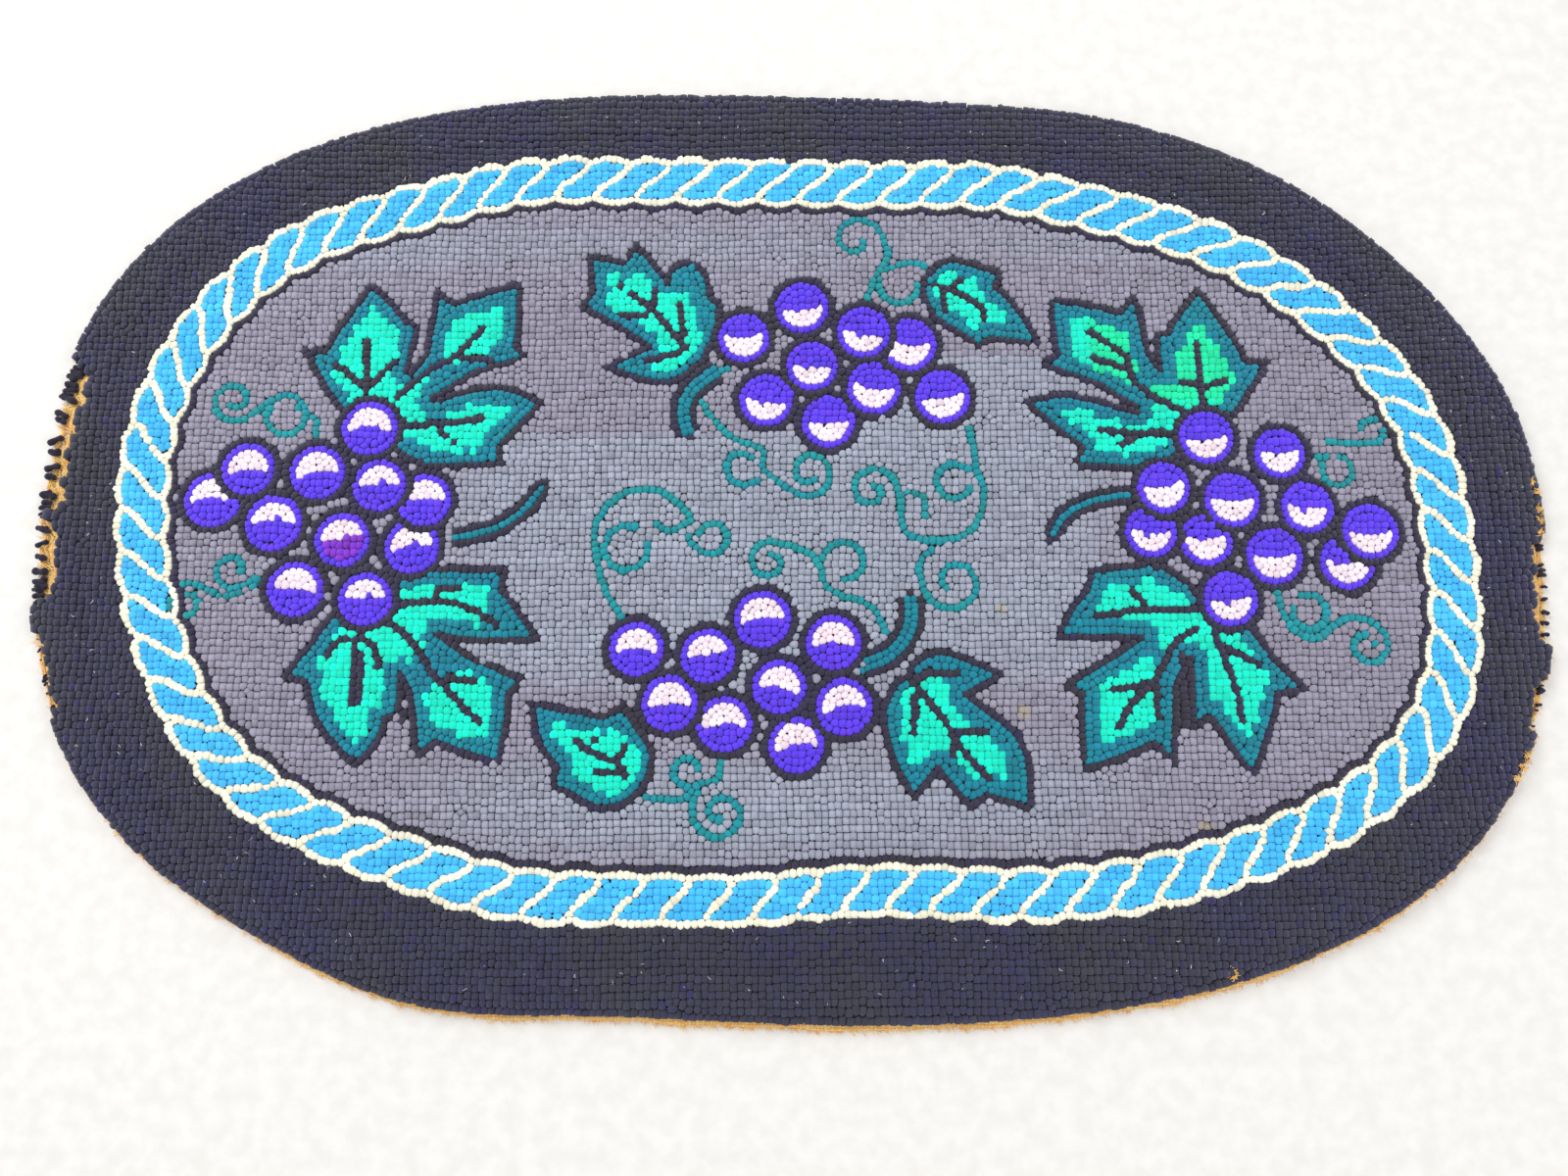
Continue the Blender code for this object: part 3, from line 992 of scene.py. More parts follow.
    tendrils: tuple[Tendril, ...] = (
        Tendril((Curl(-85, 19.5, 1.0, 3.5, -120, 420), Curl(-77, 17, 3.3, 2.8, 125, -330))),
        Tendril((Curl(-75.5, 14.5, 3.6, 3.6, -25, 110),)),
        Tendril((Curl(-83, -7, 1.2, 2.9, -10, 280), (-78.5, -8))),
        Tendril(((-80, -9.5), (-84, -11), Curl(-89.5, -12, 3.0, 1.2, 70, 380))),
        Tendril((Curl(
            -10, 20.5, 4.0, 3.8, 80, 150
        ), (-8.5, 13.5), (-4, 11.5), (-4, 8.5), Curl(3, 8, 4.0, 1.3, 215, 450))),
        Tendril((Curl(-7, 9, 3.2, 1.9, -45, -270),)),
        Tendril(
            (
                (27.5, 15), (28.5, 8.5), (29.5, 4.5), (28, 0), (25.5, -2), (22, -2.5), (18.5, -2),
                (17, 0), (16.8, 3), Curl(12.5, 5.2, 3.9, 0.8, 10, 420),
            )
        ),
        Tendril(((21.3, -4), (19.5, -6), Curl(24.5, -8.8, 4.8, 1.5, 180, 400))),
        Tendril((Curl(25, 6.5, 2.9, 2.5, 45, 290),)), Tendril(((17.8, 5), (19, 4.8))),
        Tendril(((20.3, 4.2), (20.6, 1.5))),
        Tendril(
            (
                (-25, -14), (-27.5, -10), (-28.6, -6), Curl(-22, -2.2, 7.4, 7.8, 165, -140), (-15.8, 0),
                (-17, -0.8), (-18.7, -0.9), (-20, 0),
            )
        ),
        Tendril(((-15, -2), Curl(-11.7, -2, 2.9, 1.8, 200, 330))),
        Tendril((Curl(-24.3, -3.8, 3.6, 3.1, 70, 300),)),
        Tendril(
            (
                Curl(-3, -5.8, 1.2, 3.3, 70, -370), (0.8, -3.6), (3.5, -5), (4.6, -6.8), (5.5, -9.5),
                (7.5, -10.8), (10, -11.5), (12.5, -13), (14.2, -16.3),
            )
        ),
        Tendril((Curl(8.3, -6, 3.4, 2.5, 165, -255),)),
        Tendril((Curl(10.5, 45.7, 1.0, 4.4, -10, -350), (15.5, 43), (14, 40.5), (12.8, 38), (12.3, 36.3))),
        Tendril(((21, 41.5), (18.5, 42), Curl(17.4, 38.3, 3.4, 2.6, 130, 230))),
        Tendril(((79.5, 10.5), Curl(83, 8.3, 2.4, 2.3, 120, 320))),
        Tendril(((82, 13), (86, 12.6), Curl(88.6, 14.8, 2.2, 1.3, -60, 230))),
        Tendril(
            (
                (72.5, -10.5), (73, -13), (74.4, -15.8), (77.5, -17.5), (80, -16), (82.5, -14.4),
                (85.5, -14.6), Curl(85.3, -18.4, 3.3, 1.2, 50, -390),
            )
        ),
        Tendril((Curl(77, -13.4, 2.7, 2.4, 110, -300),)),
        Tendril(((-20.5, -40.5), (-15.5, -40.7), (-13, -38.6), (-10.5, -38), (-10, -35.5))),
        Tendril((Curl(-14.7, -36.6, 1.4, 2.5, 10, 260),)),
        Tendril((Curl(-10, -42.7, 4.4, 0.9, 140, 480),)),
    )

    def grapes(self, chance: np.random.Generator) -> list[Grape]:
        """The grapes of all clusters, each a little different.

        Args:
            chance: The source of the small differences.

        Returns:
            The grapes.
        """
        found = []
        for glow, places in self.clusters:
            for x, y in places:
                tilt, size, span = chance.uniform(-1.0, 1.0, 3)
                found.append(Grape(x, y, 4.12 + 0.18 * size, glow - 12.0 * tilt, 76.0 + 10.0 * span))
        return found

    def hook(self, chance: np.random.Generator) -> Pile:
        """Hooks the whole rug.

        Args:
            chance: The source of its small irregularities.

        Returns:
            All its loops.
        """
        pile = Pile(chance)
        grapes = self.grapes(chance)
        self.rope.hook(pile)
        for motif in (*grapes, *self.stems, *self.leaves, *self.tendrils):
            motif.hook(pile)
        self.hook_rim(pile)
        self.fill(pile, grapes)
        pile.ease(3)
        return pile

    @staticmethod
    def hook_rim(pile: Pile) -> None:
        """Hooks a row along the rim, where it isn't worn.

        Args:
            pile: The rug's loops.
        """
        bearings = np.linspace(0.0, 360.0, 1441)
        line = RIM.points(bearings, 0.0023 + 0.0003 * np.sin(0.9 * bearings))
        for stretch in runs(line, WORN_RIM.wear(bearings) < 0.0005):
            pile.hook_line(stretch, Yarn.BORDER)

    def fill(self, pile: Pile, grapes: list[Grape]) -> None:
        """Fills the rug between its lines with straight rows.

        Args:
            pile: The rug's loops.
            grapes: The grapes.
        """
        column, row = np.meshgrid(np.arange(-116, 117), np.arange(-68, 69))
        tree = pile.tree()
        for step, (part_x, part_y) in enumerate(((0.0, 0.0), (0.5, 0.0), (0.0, 0.5), (0.5, 0.5))):
            x = ((column + part_x) * COLUMN).ravel()
            y = ((row + part_y) * ROW).ravel()
            x, y = (
                x + 0.0008 * np.sin(19.0 * y + 4.0 * x) + 0.0004 * np.sin(61.0 * y + 1.0),
                y + 0.0008 * np.sin(13.0 * x + 0.6) + 0.0005 * np.sin(47.0 * x + 5.0 * y),
            )
            spread = 0.00034 if step == 0 else 0.00015
            x, y = x + pile.chance.normal(0, spread, x.shape), y + pile.chance.normal(0, spread, y.shape)
            bearings = np.degrees(np.arctan2(y, x)) % 360.0
            inside = RIM.depth(x, y) > WORN_RIM.wear(bearings) + 0.0021
            x, y = x[inside], y[inside]
            room = 0.71 * COLUMN if step == 0 else 0.81 * COLUMN
            near = np.array([tree.find((px, py, 0.0))[2] for px, py in zip(x, y)])
            x, y = x[near > room], y[near > room]
            if step:
                x, y = self.apart(x, y, room)
            yarn = self.yarns(x, y, grapes)
            pile.add(x, y, np.zeros(len(x)), yarn, True)
            tree = pile.tree()

    @staticmethod
    def apart(x: np.ndarray, y: np.ndarray, room: float) -> tuple[np.ndarray, np.ndarray]:
        """Leaves out the places that lie too near one another.

        Args:
            x: Places along the rug.
            y: Places across it.
            room: The least distance.

        Returns:
            The places that are kept.
        """
        kept: list[int] = []
        for i in range(len(x)):
            if not kept or np.hypot(x[kept] - x[i], y[kept] - y[i]).min() > room:
                kept.append(i)
        return x[kept], y[kept]

    def yarns(self, x: np.ndarray, y: np.ndarray, grapes: list[Grape]) -> np.ndarray:
        """Which yarn some places of the straight rows are hooked with.

        Args:
            x: Places along the rug.
            y: Places across it.
            grapes: The grapes.

        Returns:
            The number of each place's yarn.
        """
        inward = ROPE_LINE.depth(x, y)
        yarn = np.where(inward > 0.0, Yarn.FIELD.value, Yarn.BORDER.value)
        yarn[self.rope.holds(x, y)] = Yarn.ROPE.value
        for leaf in self.leaves:
            points = np.stack([x, y], axis=1) / COLUMN
            depth = leaf.depth(points)
            yarn[(depth > -0.35) & (depth <= 0.5)] = Yarn.OUTLINE.value
            yarn[depth > 0.5] = Yarn.TEAL.value
            yarn[leaf.heart(points, depth)] = Yarn.LEAF.value
        for grape in grapes:
            away = grape.away(x, y)
            yarn[(away < grape.radius + 0.95) & (away >= grape.radius)] = Yarn.OUTLINE.value
        for grape in grapes:
            yarn[grape.away(x, y) < grape.radius] = Yarn.GRAPE.value
        return yarn


# Meshes


def home(
    name: str, mesh: bpy.types.Mesh, finish: bpy.types.Material, slot: str, *nodes: str
) -> bpy.types.Object:
    """Puts a finished mesh in the scene as a piece of the rug.

    Args:
        name: The piece's name.
        mesh: Its mesh, in place.
        finish: Its material.
        slot: The record's material slot it stands for; not used.
        nodes: The CAD nodes it replaces.

    Returns:
        The piece.
    """
    mesh.materials.append(finish)
    piece = bpy.data.objects.new(name, mesh)
    bpy.context.scene.collection.objects.link(piece)
    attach(piece, "root")
    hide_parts(*nodes)
    LOG.info("%s: %d faces", name, len(mesh.polygons))
    return piece


def loft(name: str, rings: np.ndarray) -> bpy.types.Mesh:
    """A closed body through rings of points, its first and last ring filled.

    Args:
        name: The mesh's name.
        rings: Points by ring, station and axis.

    Returns:
        The mesh, smooth.
    """
    ring_count, stations = rings.shape[:2]
    bm = bmesh.new()
    bmesh.ops.create_grid(bm, x_segments=stations, y_segments=ring_count - 1, size=1.0)
    for vert in bm.verts:
        station = round((vert.co.x + 1.0) / 2.0 * stations) % stations
        ring = round((vert.co.y + 1.0) / 2.0 * (ring_count - 1))
        vert.co = rings[ring, station]
    bmesh.ops.remove_doubles(bm, verts=bm.verts, dist=1e-7)
    rims = [edge for edge in bm.edges if edge.is_boundary]
    caps = bmesh.ops.holes_fill(bm, edges=rims, sides=0)["faces"]
    bmesh.ops.poke(bm, faces=caps)
    bmesh.ops.recalc_face_normals(bm, faces=bm.faces)
    for face in bm.faces:
        face.smooth = True
    mesh = bpy.data.meshes.new(name)
    bm.to_mesh(mesh)
    bm.free()
    return mesh


@dataclass
class JoinedForm:
    """A small form taken from a bmesh, to be copied by arrays into one joined mesh."""

    corners: np.ndarray
    faces: list[list[int]]

    @staticmethod
    def loop() -> "JoinedForm":
        """One loop's form: an open foot of eight sides, a shoulder and a top."""
        bm = bmesh.new()
        bmesh.ops.create_cone(
            bm, cap_ends=True, cap_tris=True, segments=8, radius1=1.0, radius2=SHOULDER, depth=1.0
        )
        foot = [vert for vert in bm.verts if vert.co.z < 0.0 and vert.co.xy.length < 0.1]
        bmesh.ops.delete(bm, geom=foot, context="VERTS")
        return JoinedForm.taken(bm)

    @staticmethod
    def stitch() -> "JoinedForm":
        """One stitch on the rug's back: a short band of two faces that look down."""
        bm = bmesh.new()
        bmesh.ops.create_grid(bm, x_segments=2, y_segments=1, size=1.0)
        bmesh.ops.reverse_faces(bm, faces=bm.faces)
        return JoinedForm.taken(bm)

    @staticmethod
    def taken(bm: bmesh.types.BMesh) -> "JoinedForm":
        """Takes a bmesh's form and frees it."""
        bm.verts.index_update()
        form = JoinedForm(
            np.array([vert.co[:] for vert in bm.verts]),
            [[vert.index for vert in face.verts] for face in bm.faces],
        )
        bm.free()
        return form


@dataclass
class JoinedMesh:
    """Many copies of small forms, gathered into one mesh with what its yarn reads."""

    places: list[np.ndarray] = field(default_factory=list)
    looks: list[np.ndarray] = field(default_factory=list)
    lays: list[np.ndarray] = field(default_factory=list)
    maps: list[np.ndarray] = field(default_factory=list)
    sizes: list[np.ndarray] = field(default_factory=list)
    corners: list[np.ndarray] = field(default_factory=list)
    count: int = 0

    def add(
        self, form: JoinedForm, places: np.ndarray, looks: np.ndarray, lays: np.ndarray, maps: np.ndarray
    ) -> None:
        """Adds a copy of a form for each loop.

        Args:
            form: The form.
            places: The copies' corners, by copy, corner and axis.
            looks: Shade, tone and blend of each corner.
            lays: Each corner's place along and across the copy's own yarn.
            maps: Each corner's place on the bake's map.
        """
        copies, corners = places.shape[:2]
        start = self.count + np.arange(copies) * corners
        flat = np.concatenate([np.array(face) for face in form.faces])
        self.places.append(places.reshape(-1, 3))
        self.looks.append(looks.reshape(-1, 4))
        self.lays.append(lays.reshape(-1, 3))
        self.corners.append((start[:, None] + flat).ravel())
        self.maps.append(maps[:, flat].reshape(-1, 2))
        self.sizes.append(np.tile([len(face) for face in form.faces], copies))
        self.count += copies * corners

    def mesh(self, name: str) -> bpy.types.Mesh:
        """The joined mesh, smooth.

        Args:
            name: Its name.

        Returns:
            The mesh.
        """
        places, corners, sizes = (np.concatenate(p) for p in (self.places, self.corners, self.sizes))
        mesh = bpy.data.meshes.new(name)
        mesh.vertices.add(len(places))
        mesh.vertices.foreach_set("co", places.astype(np.float32).ravel())
        mesh.loops.add(len(corners))
        mesh.loops.foreach_set("vertex_index", corners.astype(np.int32))
        mesh.polygons.add(len(sizes))
        starts = np.concatenate([[0], np.cumsum(sizes)[:-1]])
        mesh.polygons.foreach_set("loop_start", starts.astype(np.int32))
        mesh.polygons.foreach_set("use_smooth", np.ones(len(sizes), bool))
        mesh.update(calc_edges=True)
        look = mesh.attributes.new("yarn_look", "FLOAT_COLOR", "POINT")
        look.data.foreach_set("color", np.concatenate(self.looks).astype(np.float32).ravel())
        lay = mesh.attributes.new("yarn_lay", "FLOAT_VECTOR", "POINT")
        lay.data.foreach_set("vector", np.concatenate(self.lays).astype(np.float32).ravel())
        tiles = mesh.uv_layers.new(name="OFBake")
        tiles.data.foreach_set("uv", np.concatenate(self.maps).astype(np.float32).ravel())
        return mesh


@dataclass
class PileMaker:
    """Turns the loops into pieces of yarn."""

    pile: Pile
    chance: np.random.Generator
    back_gap: float = 0.0004

    def __post_init__(self) -> None:
        """Works out each loop's room, height and tone once."""
        pile, chance = self.pile, self.chance
        count = len(pile.x)
        self.reach = pile.cells() * (1.012 - 0.05 * chance.random(count) ** 2)[:, None]
        bearings = np.degrees(np.arctan2(pile.y, pile.x)) % 360.0
        self.inset = RIM.depth(pile.x, pile.y)
        self.edge = self.inset - WORN_RIM.wear(bearings)
        out_x = self.inset - RIM.depth(pile.x + 0.001, pile.y)
        out_y = self.inset - RIM.depth(pile.x, pile.y + 0.001)
        ways = pile.turn[:, None] + np.arange(8) * math.pi / 4.0
        outward = (out_x[:, None] * np.cos(ways) + out_y[:, None] * np.sin(ways)) / 0.001
        room = np.maximum(self.edge + chance.normal(0.0, 0.00022, count), 0.0014)
        self.limit = room[:, None] / np.maximum(outward, 0.05)
        over_hem = 1.0 - np.clip((self.inset - RISE_OUT) / (RISE_IN - RISE_OUT), 0.0, 1.0)
        self.cloth_top = CLOTH + over_hem * (CLOTH + FOLD_GAP)
        rounding = 0.0011 * np.clip(1.0 - (self.edge - 0.0018) / 0.0035, 0.0, 1.0)
        sunk = np.where(pile.free, 0.0, 0.00025)
        rough = chance.normal(0.0, 0.00020, count).clip(-0.0005, 0.0004)
        self.top = self.cloth_top + PIECE_GAP + PILE + lumps(pile.x, pile.y) - rounding - sunk + rough
        bright = [Yarn.ROPE.value, Yarn.CREAM.value, Yarn.HIGHLIGHT.value, Yarn.LEAF.value]
        inner_deep = np.where(np.isin(pile.yarn, bright), BRIGHT_DEPTH, LOOP_DEPTH)
        self.deep = np.where(self.edge < 0.0052, self.top - self.cloth_top, inner_deep)
        self.tone = self.tones()
        self.blend = self.blends()

    def tones(self) -> np.ndarray:
        """How light each loop is: yarn by yarn length along its row, and loop by loop."""
        pile = self.pile
        row = np.round(pile.y / ROW).astype(int)
        start = self.chance.random(400)[row + 200] * 0.09
        length = np.floor((pile.x + start) / 0.09).astype(int)
        streaks = self.chance.random((400, 60))
        streak = streaks[row + 200, length + 30]
        loop = self.chance.normal(0.0, 1.0, len(pile.x))
        return np.clip(0.5 + 0.30 * (streak - 0.5) + 0.17 * loop, 0.0, 1.0)

    def blends(self) -> np.ndarray:
        """How much of its yarn's second colour each loop takes."""
        pile = self.pile
        x, y = pile.x, pile.y
        loop = self.chance.normal(0.0, 1.0, len(x))
        top_edge = 0.060 + 0.052 * smooth_step(x, 0.02, 0.07)
        middle = smooth_step(top_edge - y, -0.003, 0.004) * smooth_step(-np.abs(x + 0.005), -0.235, -0.17)
        middle = 0.95 * middle * smooth_step(y, -0.125, -0.075)
        low_band = np.exp(-(((y + 0.175) / 0.030) ** 2)) * smooth_step(-np.abs(x), -0.26, -0.12)
        top_band = 0.5 * np.exp(-(((y - 0.190) / 0.016) ** 2))
        wander = 0.10 * np.sin(70.0 * y + 2.0 * np.sin(9.0 * x)) + 0.08 * np.sin(23.0 * x + 5.0)
        field_blend = 1.0 - np.maximum.reduce([middle, low_band, top_band]) + wander
        blend = np.where(
            pile.yarn == Yarn.FIELD.value, field_blend, 0.5 + 0.25 * np.sin(40.0 * x + 90.0 * y)
        )
        cloud = np.sin(
            33.0 * x + 19.0 * y
        ) * np.sin(27.0 * y - 12.0 * x + 1.0) + 0.5 * np.sin(90.0 * x + 40.0 * y)
        dark = (pile.yarn == Yarn.BORDER.value) | (pile.yarn == Yarn.OUTLINE.value)
        stray = (self.chance.random(len(x)) < 0.045) * self.chance.random(len(x))
        blend = np.where(dark, 0.30 + 0.22 * cloud + 0.9 * stray, blend)
        yellow = smooth_step(x, 0.19, 0.20) * smooth_step(y, 0.075, 0.085)
        blend = np.where(pile.yarn == Yarn.LEAF.value, yellow, blend)
        plum = np.hypot(x / COLUMN + 67.0, y / COLUMN + 3.0) < 2.9
        blend = np.where(pile.yarn == Yarn.GRAPE.value, np.where(plum, 1.0, 0.0), blend)
        return np.clip(blend + 0.07 * loop, 0.0, 1.0)

    def piece(
        self, name: str, chosen: np.ndarray, finish: bpy.types.Material, slot: str
    ) -> bpy.types.Object:
        """One piece of the pile.

        Args:
            name: Its name.
            chosen: Which loops it holds.
            finish: Its material.
            slot: Its material slot.

        Returns:
            The piece.
        """
        index = np.flatnonzero(chosen)
        behind = np.flatnonzero(chosen & (self.inset > HEM + 0.0025))
        joined = JoinedMesh()
        tiles = len(index) + (len(behind) + 3) // 4
        across = math.ceil(math.sqrt(tiles))
        self.add_loops(joined, index, across)
        self.add_stitches(joined, behind, len(index), across)
        return home(name, joined.mesh(name), finish, slot, "hooked_pile")

    def add_loops(self, joined: JoinedMesh, index: np.ndarray, across: int) -> None:
        """Adds loops to a mesh.

        Args:
            joined: The mesh.
            index: The loops' numbers.
            across: Tiles across the bake's map.
        """
        form = JoinedForm.loop()
        spots = form.corners
        foot = spots[:, 2] < 0.0
        top = np.hypot(spots[:, 0], spots[:, 1]) < 0.1
        angle = np.arctan2(spots[:, 1], spots[:, 0])
        side = np.round(angle / (math.pi / 4.0)).astype(int) % 8
        count = len(index)
        coarse = np.isin(self.pile.yarn[index], [Yarn.BORDER.value, Yarn.FIELD.value])
        shoulder = np.where(coarse, SHOULDER, FINE_SHOULDER)
        shoulder = np.where(self.edge[index] < 0.0035, 1.02, shoulder)[:, None]
        spread = np.where(coarse, FOOT_SPREAD, FINE_SPREAD)[:, None]
        width = np.where(foot, spread, np.where(top, 0.0, shoulder))
        way = self.pile.turn[index][:, None] + side * math.pi / 4.0
        reach = np.minimum(self.reach[index][:, side] * width, self.limit[index][:, side])
        lean = self.chance.normal(0.0, 0.00020, (count, 2, 1))
        shift = self.chance.normal(0.0, 0.00022, (count, 2, 1)) * (~foot)
        local_x, local_y = reach * np.cos(way), reach * np.sin(way)
        x = self.pile.x[index][:, None] + local_x + shift[:, 0]
        y = self.pile.y[index][:, None] + local_y + shift[:, 1]
        tilt = (lean[:, 0] * local_x + lean[:, 1] * local_y) / 0.0020 * (~foot)
        drop = np.where(foot, self.deep[index][:, None], np.where(top, 0.0, SHOULDER_DROP))
        z = self.top[index][:, None] - drop + tilt
        shade = np.where(foot, 0.0, np.where(top, 1.0, 0.93))
        looks = np.stack(
            np.broadcast_arrays(
                shade, self.tone[index][:, None], self.blend[index][:, None], np.ones((count, len(spots)))
            ),
            axis=-1,
        )
        spin = self.chance.uniform(0.0, math.pi, (count, 1))
        lay_x = local_x * np.cos(spin) + local_y * np.sin(spin)
        lay_y = local_y * np.cos(spin) - local_x * np.sin(spin)
        lays = np.stack([lay_x, lay_y, np.broadcast_to(spin, lay_x.shape)], axis=-1)
        tile = np.arange(count)
        spread = np.where(foot, 0.47, np.where(top, 0.0, 0.31))
        u = (tile % across)[:, None] + 0.5 + spread * np.cos(side * math.pi / 4.0)
        v = (tile // across)[:, None] + 0.5 + spread * np.sin(side * math.pi / 4.0)
        joined.add(form, np.stack(
            [x, y, z], axis=-1
        ) + self.shift(), looks, lays, np.stack([u, v], axis=-1) / across)

    def add_stitches(self, joined: JoinedMesh, index: np.ndarray, first: int, across: int) -> None:
        """Adds the stitches that join the loops on the rug's back.

        Args:
            joined: The mesh.
            index: The loops' numbers.
            first: Tiles of the bake's map that are taken.
            across: Tiles across that map.
        """
        form = JoinedForm.stitch()
        spots = form.corners
        turn = self.pile.turn[index][:, None]
        along = spots[:, 0] * COLUMN * 0.52
        aside = spots[:, 1] * (0.0014 + self.chance.normal(0.0, 0.00012, (len(index), 1)))
        x = self.pile.x[index][:, None] + along * np.cos(turn) - aside * np.sin(turn)
        y = self.pile.y[index][:, None] + along * np.sin(turn) + aside * np.cos(turn)
        ends = np.abs(spots[:, 0]) > 0.5
        z = np.broadcast_to(np.where(ends, self.back_gap + 0.0001, 0.00004), x.shape)
        shade = np.where(ends, 0.35, 1.0)
        looks = np.stack(
            np.broadcast_arrays(
                shade, self.tone[index][:, None], self.blend[index][:, None], np.ones(x.shape)
            ),
            axis=-1,
        )
        lays = np.stack(np.broadcast_arrays(along, aside, 0.0), axis=-1)
        tile = first + np.arange(len(index)) // 4
        part = np.arange(len(index)) % 4
        u = (tile % across + 0.25 + 0.5 * (part % 2))[:, None] + spots[:, 0] * 0.20
        v = (tile // across + 0.25 + 0.5 * (part // 2))[:, None] + spots[:, 1] * 0.20
        joined.add(form, np.stack(
            [x, y, z], axis=-1
        ) + self.shift(), looks, lays, np.stack([u, v], axis=-1) / across)

    @staticmethod
    def shift() -> np.ndarray:
        """From the middle of the ovals to the rug's own origin."""
        return np.array([*MIDDLE, 0.0])

    def gap_shade_bed(self, finish: bpy.types.Material) -> bpy.types.Object:
        """The dark bottom of the pile, which closes the gaps between the loops: a sheet of the dark outline
        yarn under every colour, painted shade for those gaps.

        Args:
            finish: Its material.

        Returns:
            The piece.
        """
        bearings = np.arange(0.0, 360.0, 1.0)
        low = CLOTH + PIECE_GAP
        high = low + CLOTH + FOLD_GAP
        depth = PILE - LOOP_DEPTH - 0.0003
        steps = ((RISE_IN, low), (RISE_OUT, high), (None, high), (None, high + depth - 0.001))
        steps += (
            (None, high + depth), (RISE_OUT, high + depth), (RISE_IN, low + depth), (0.12, low + depth)
        )
        rings = []
        for step, (inset, height) in enumerate(steps):
            worn = WORN_RIM.wear(bearings) + (0.0034 if step == 4 else 0.0022)
            flat = RIM.points(bearings, worn if inset is None else np.maximum(inset, worn))
            rings.append(np.column_stack([flat, np.full(len(flat), height)]) + self.shift())
        return home("pile_base_shade", loft("pile_base_shade", np.stack(rings)), finish, "ground_yarn", "hooked_pile")

    def build(self, yarns: dict[Yarn, bpy.types.Material]) -> list[bpy.types.Object]:
        """Builds every piece of the pile.

        Args:
            yarns: The material of each yarn.

        Returns:
            The pieces.
        """
        yarn, x = self.pile.yarn, self.pile.x
        parts = (
            ("pile_border", yarn == Yarn.BORDER.value, Yarn.BORDER, "border_yarn"),
            ("pile_ground_left", (yarn == Yarn.FIELD.value) & (x < 0.0), Yarn.FIELD, "ground_yarn"),
            ("pile_ground_right", (yarn == Yarn.FIELD.value) & (x >= 0.0), Yarn.FIELD, "ground_yarn"),
            ("pile_rope", yarn == Yarn.ROPE.value, Yarn.ROPE, "rope_yarn"),
            ("pile_rope_edges", yarn == Yarn.CREAM.value, Yarn.CREAM, "cream_yarn"),
            ("pile_grapes", yarn == Yarn.GRAPE.value, Yarn.GRAPE, "grape_yarn"),
            ("pile_grape_lights", yarn == Yarn.HIGHLIGHT.value, Yarn.HIGHLIGHT, "highlight_yarn"),
            ("pile_leaf_hearts", yarn == Yarn.LEAF.value, Yarn.LEAF, "leaf_yarn"),
            ("pile_leaf_rims", yarn == Yarn.TEAL.value, Yarn.TEAL, "teal_yarn"),
            ("pile_outlines", yarn == Yarn.OUTLINE.value, Yarn.OUTLINE, "border_yarn"),
            ("pile_tendrils", yarn == Yarn.TENDRIL.value, Yarn.TENDRIL, "teal_yarn"),
        )
        made = [self.piece(name, chosen, yarns[key], slot) for name, chosen, key, slot in parts]
        # The bed takes the dark outline yarn everywhere: painted shade in the gaps between the loops.
        return [*made, self.gap_shade_bed(yarns[Yarn.OUTLINE])]


# The burlap


@dataclass
class Burlap:
    """The ground cloth: one woven sheet, its edge folded under."""

    thick: float = 0.0008
    stations: int = 720

    def section(self) -> list[tuple[bool, float, float]]:
        """The cloth's section, from its top middle round to below.

        Returns:
            For each point: whether its inset counts from the rim, or else from the cloth's edge; its
            inset; and its height.
        """
        top = 2.0 * CLOTH + FOLD_GAP
        outer = top / 2.0
        inner = outer - self.thick
        section = [(True, RISE_IN, CLOTH), (True, RISE_OUT, top), (True, 0.012, top), (True, 0.0045, top)]
        for turn in range(90, -91, -20):
            angle = math.radians(turn)
            section.append((False, outer - outer * math.cos(angle), outer + outer * math.sin(angle)))
        section += [(True, 0.012, 0.0), (True, HEM, 0.0), (True, HEM, self.thick), (True, 0.012, self.thick)]
        for turn in range(-90, 91, 30):
            angle = math.radians(turn)
            section.append((False, outer - inner * math.cos(angle), outer + inner * math.sin(angle)))
        section += [(True, 0.012, top - self.thick), (True, RISE_OUT, top - self.thick)]
        section.append((True, RISE_IN, CLOTH - self.thick))
        return section

    def build(self, finish: bpy.types.Material, pieces: list[bpy.types.Object]) -> bpy.types.Object:
        """Args:
            finish: Its material.
            pieces: What stands on it or hangs from it; not used.

        Returns:
            The sheet.
        """
        bearings = np.arange(self.stations) * 360.0 / self.stations
        edge = WORN_RIM.cloth_inset(bearings)
        rings = []
        for fixed, inset, height in self.section():
            at = np.maximum(inset, edge + 0.0015) if fixed else edge + inset
            flat = RIM.points(bearings, at)
            rings.append(np.column_stack([flat, np.full(len(flat), height)]) + np.array([*MIDDLE, 0.0]))
        sheet = home("burlap_cloth", loft("burlap_cloth", np.stack(rings)), finish, "burlap", "ground_cloth")
        rim = RIM.points(bearings, edge)
        after = np.roll(rim, -1, axis=0)
        oval = 0.5 * abs(float((rim[:, 0] * after[:, 1] - after[:, 0] * rim[:, 1]).sum()))
        around = float(np.hypot(*(after - rim).T).sum())
        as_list(pieces)
        return sheet


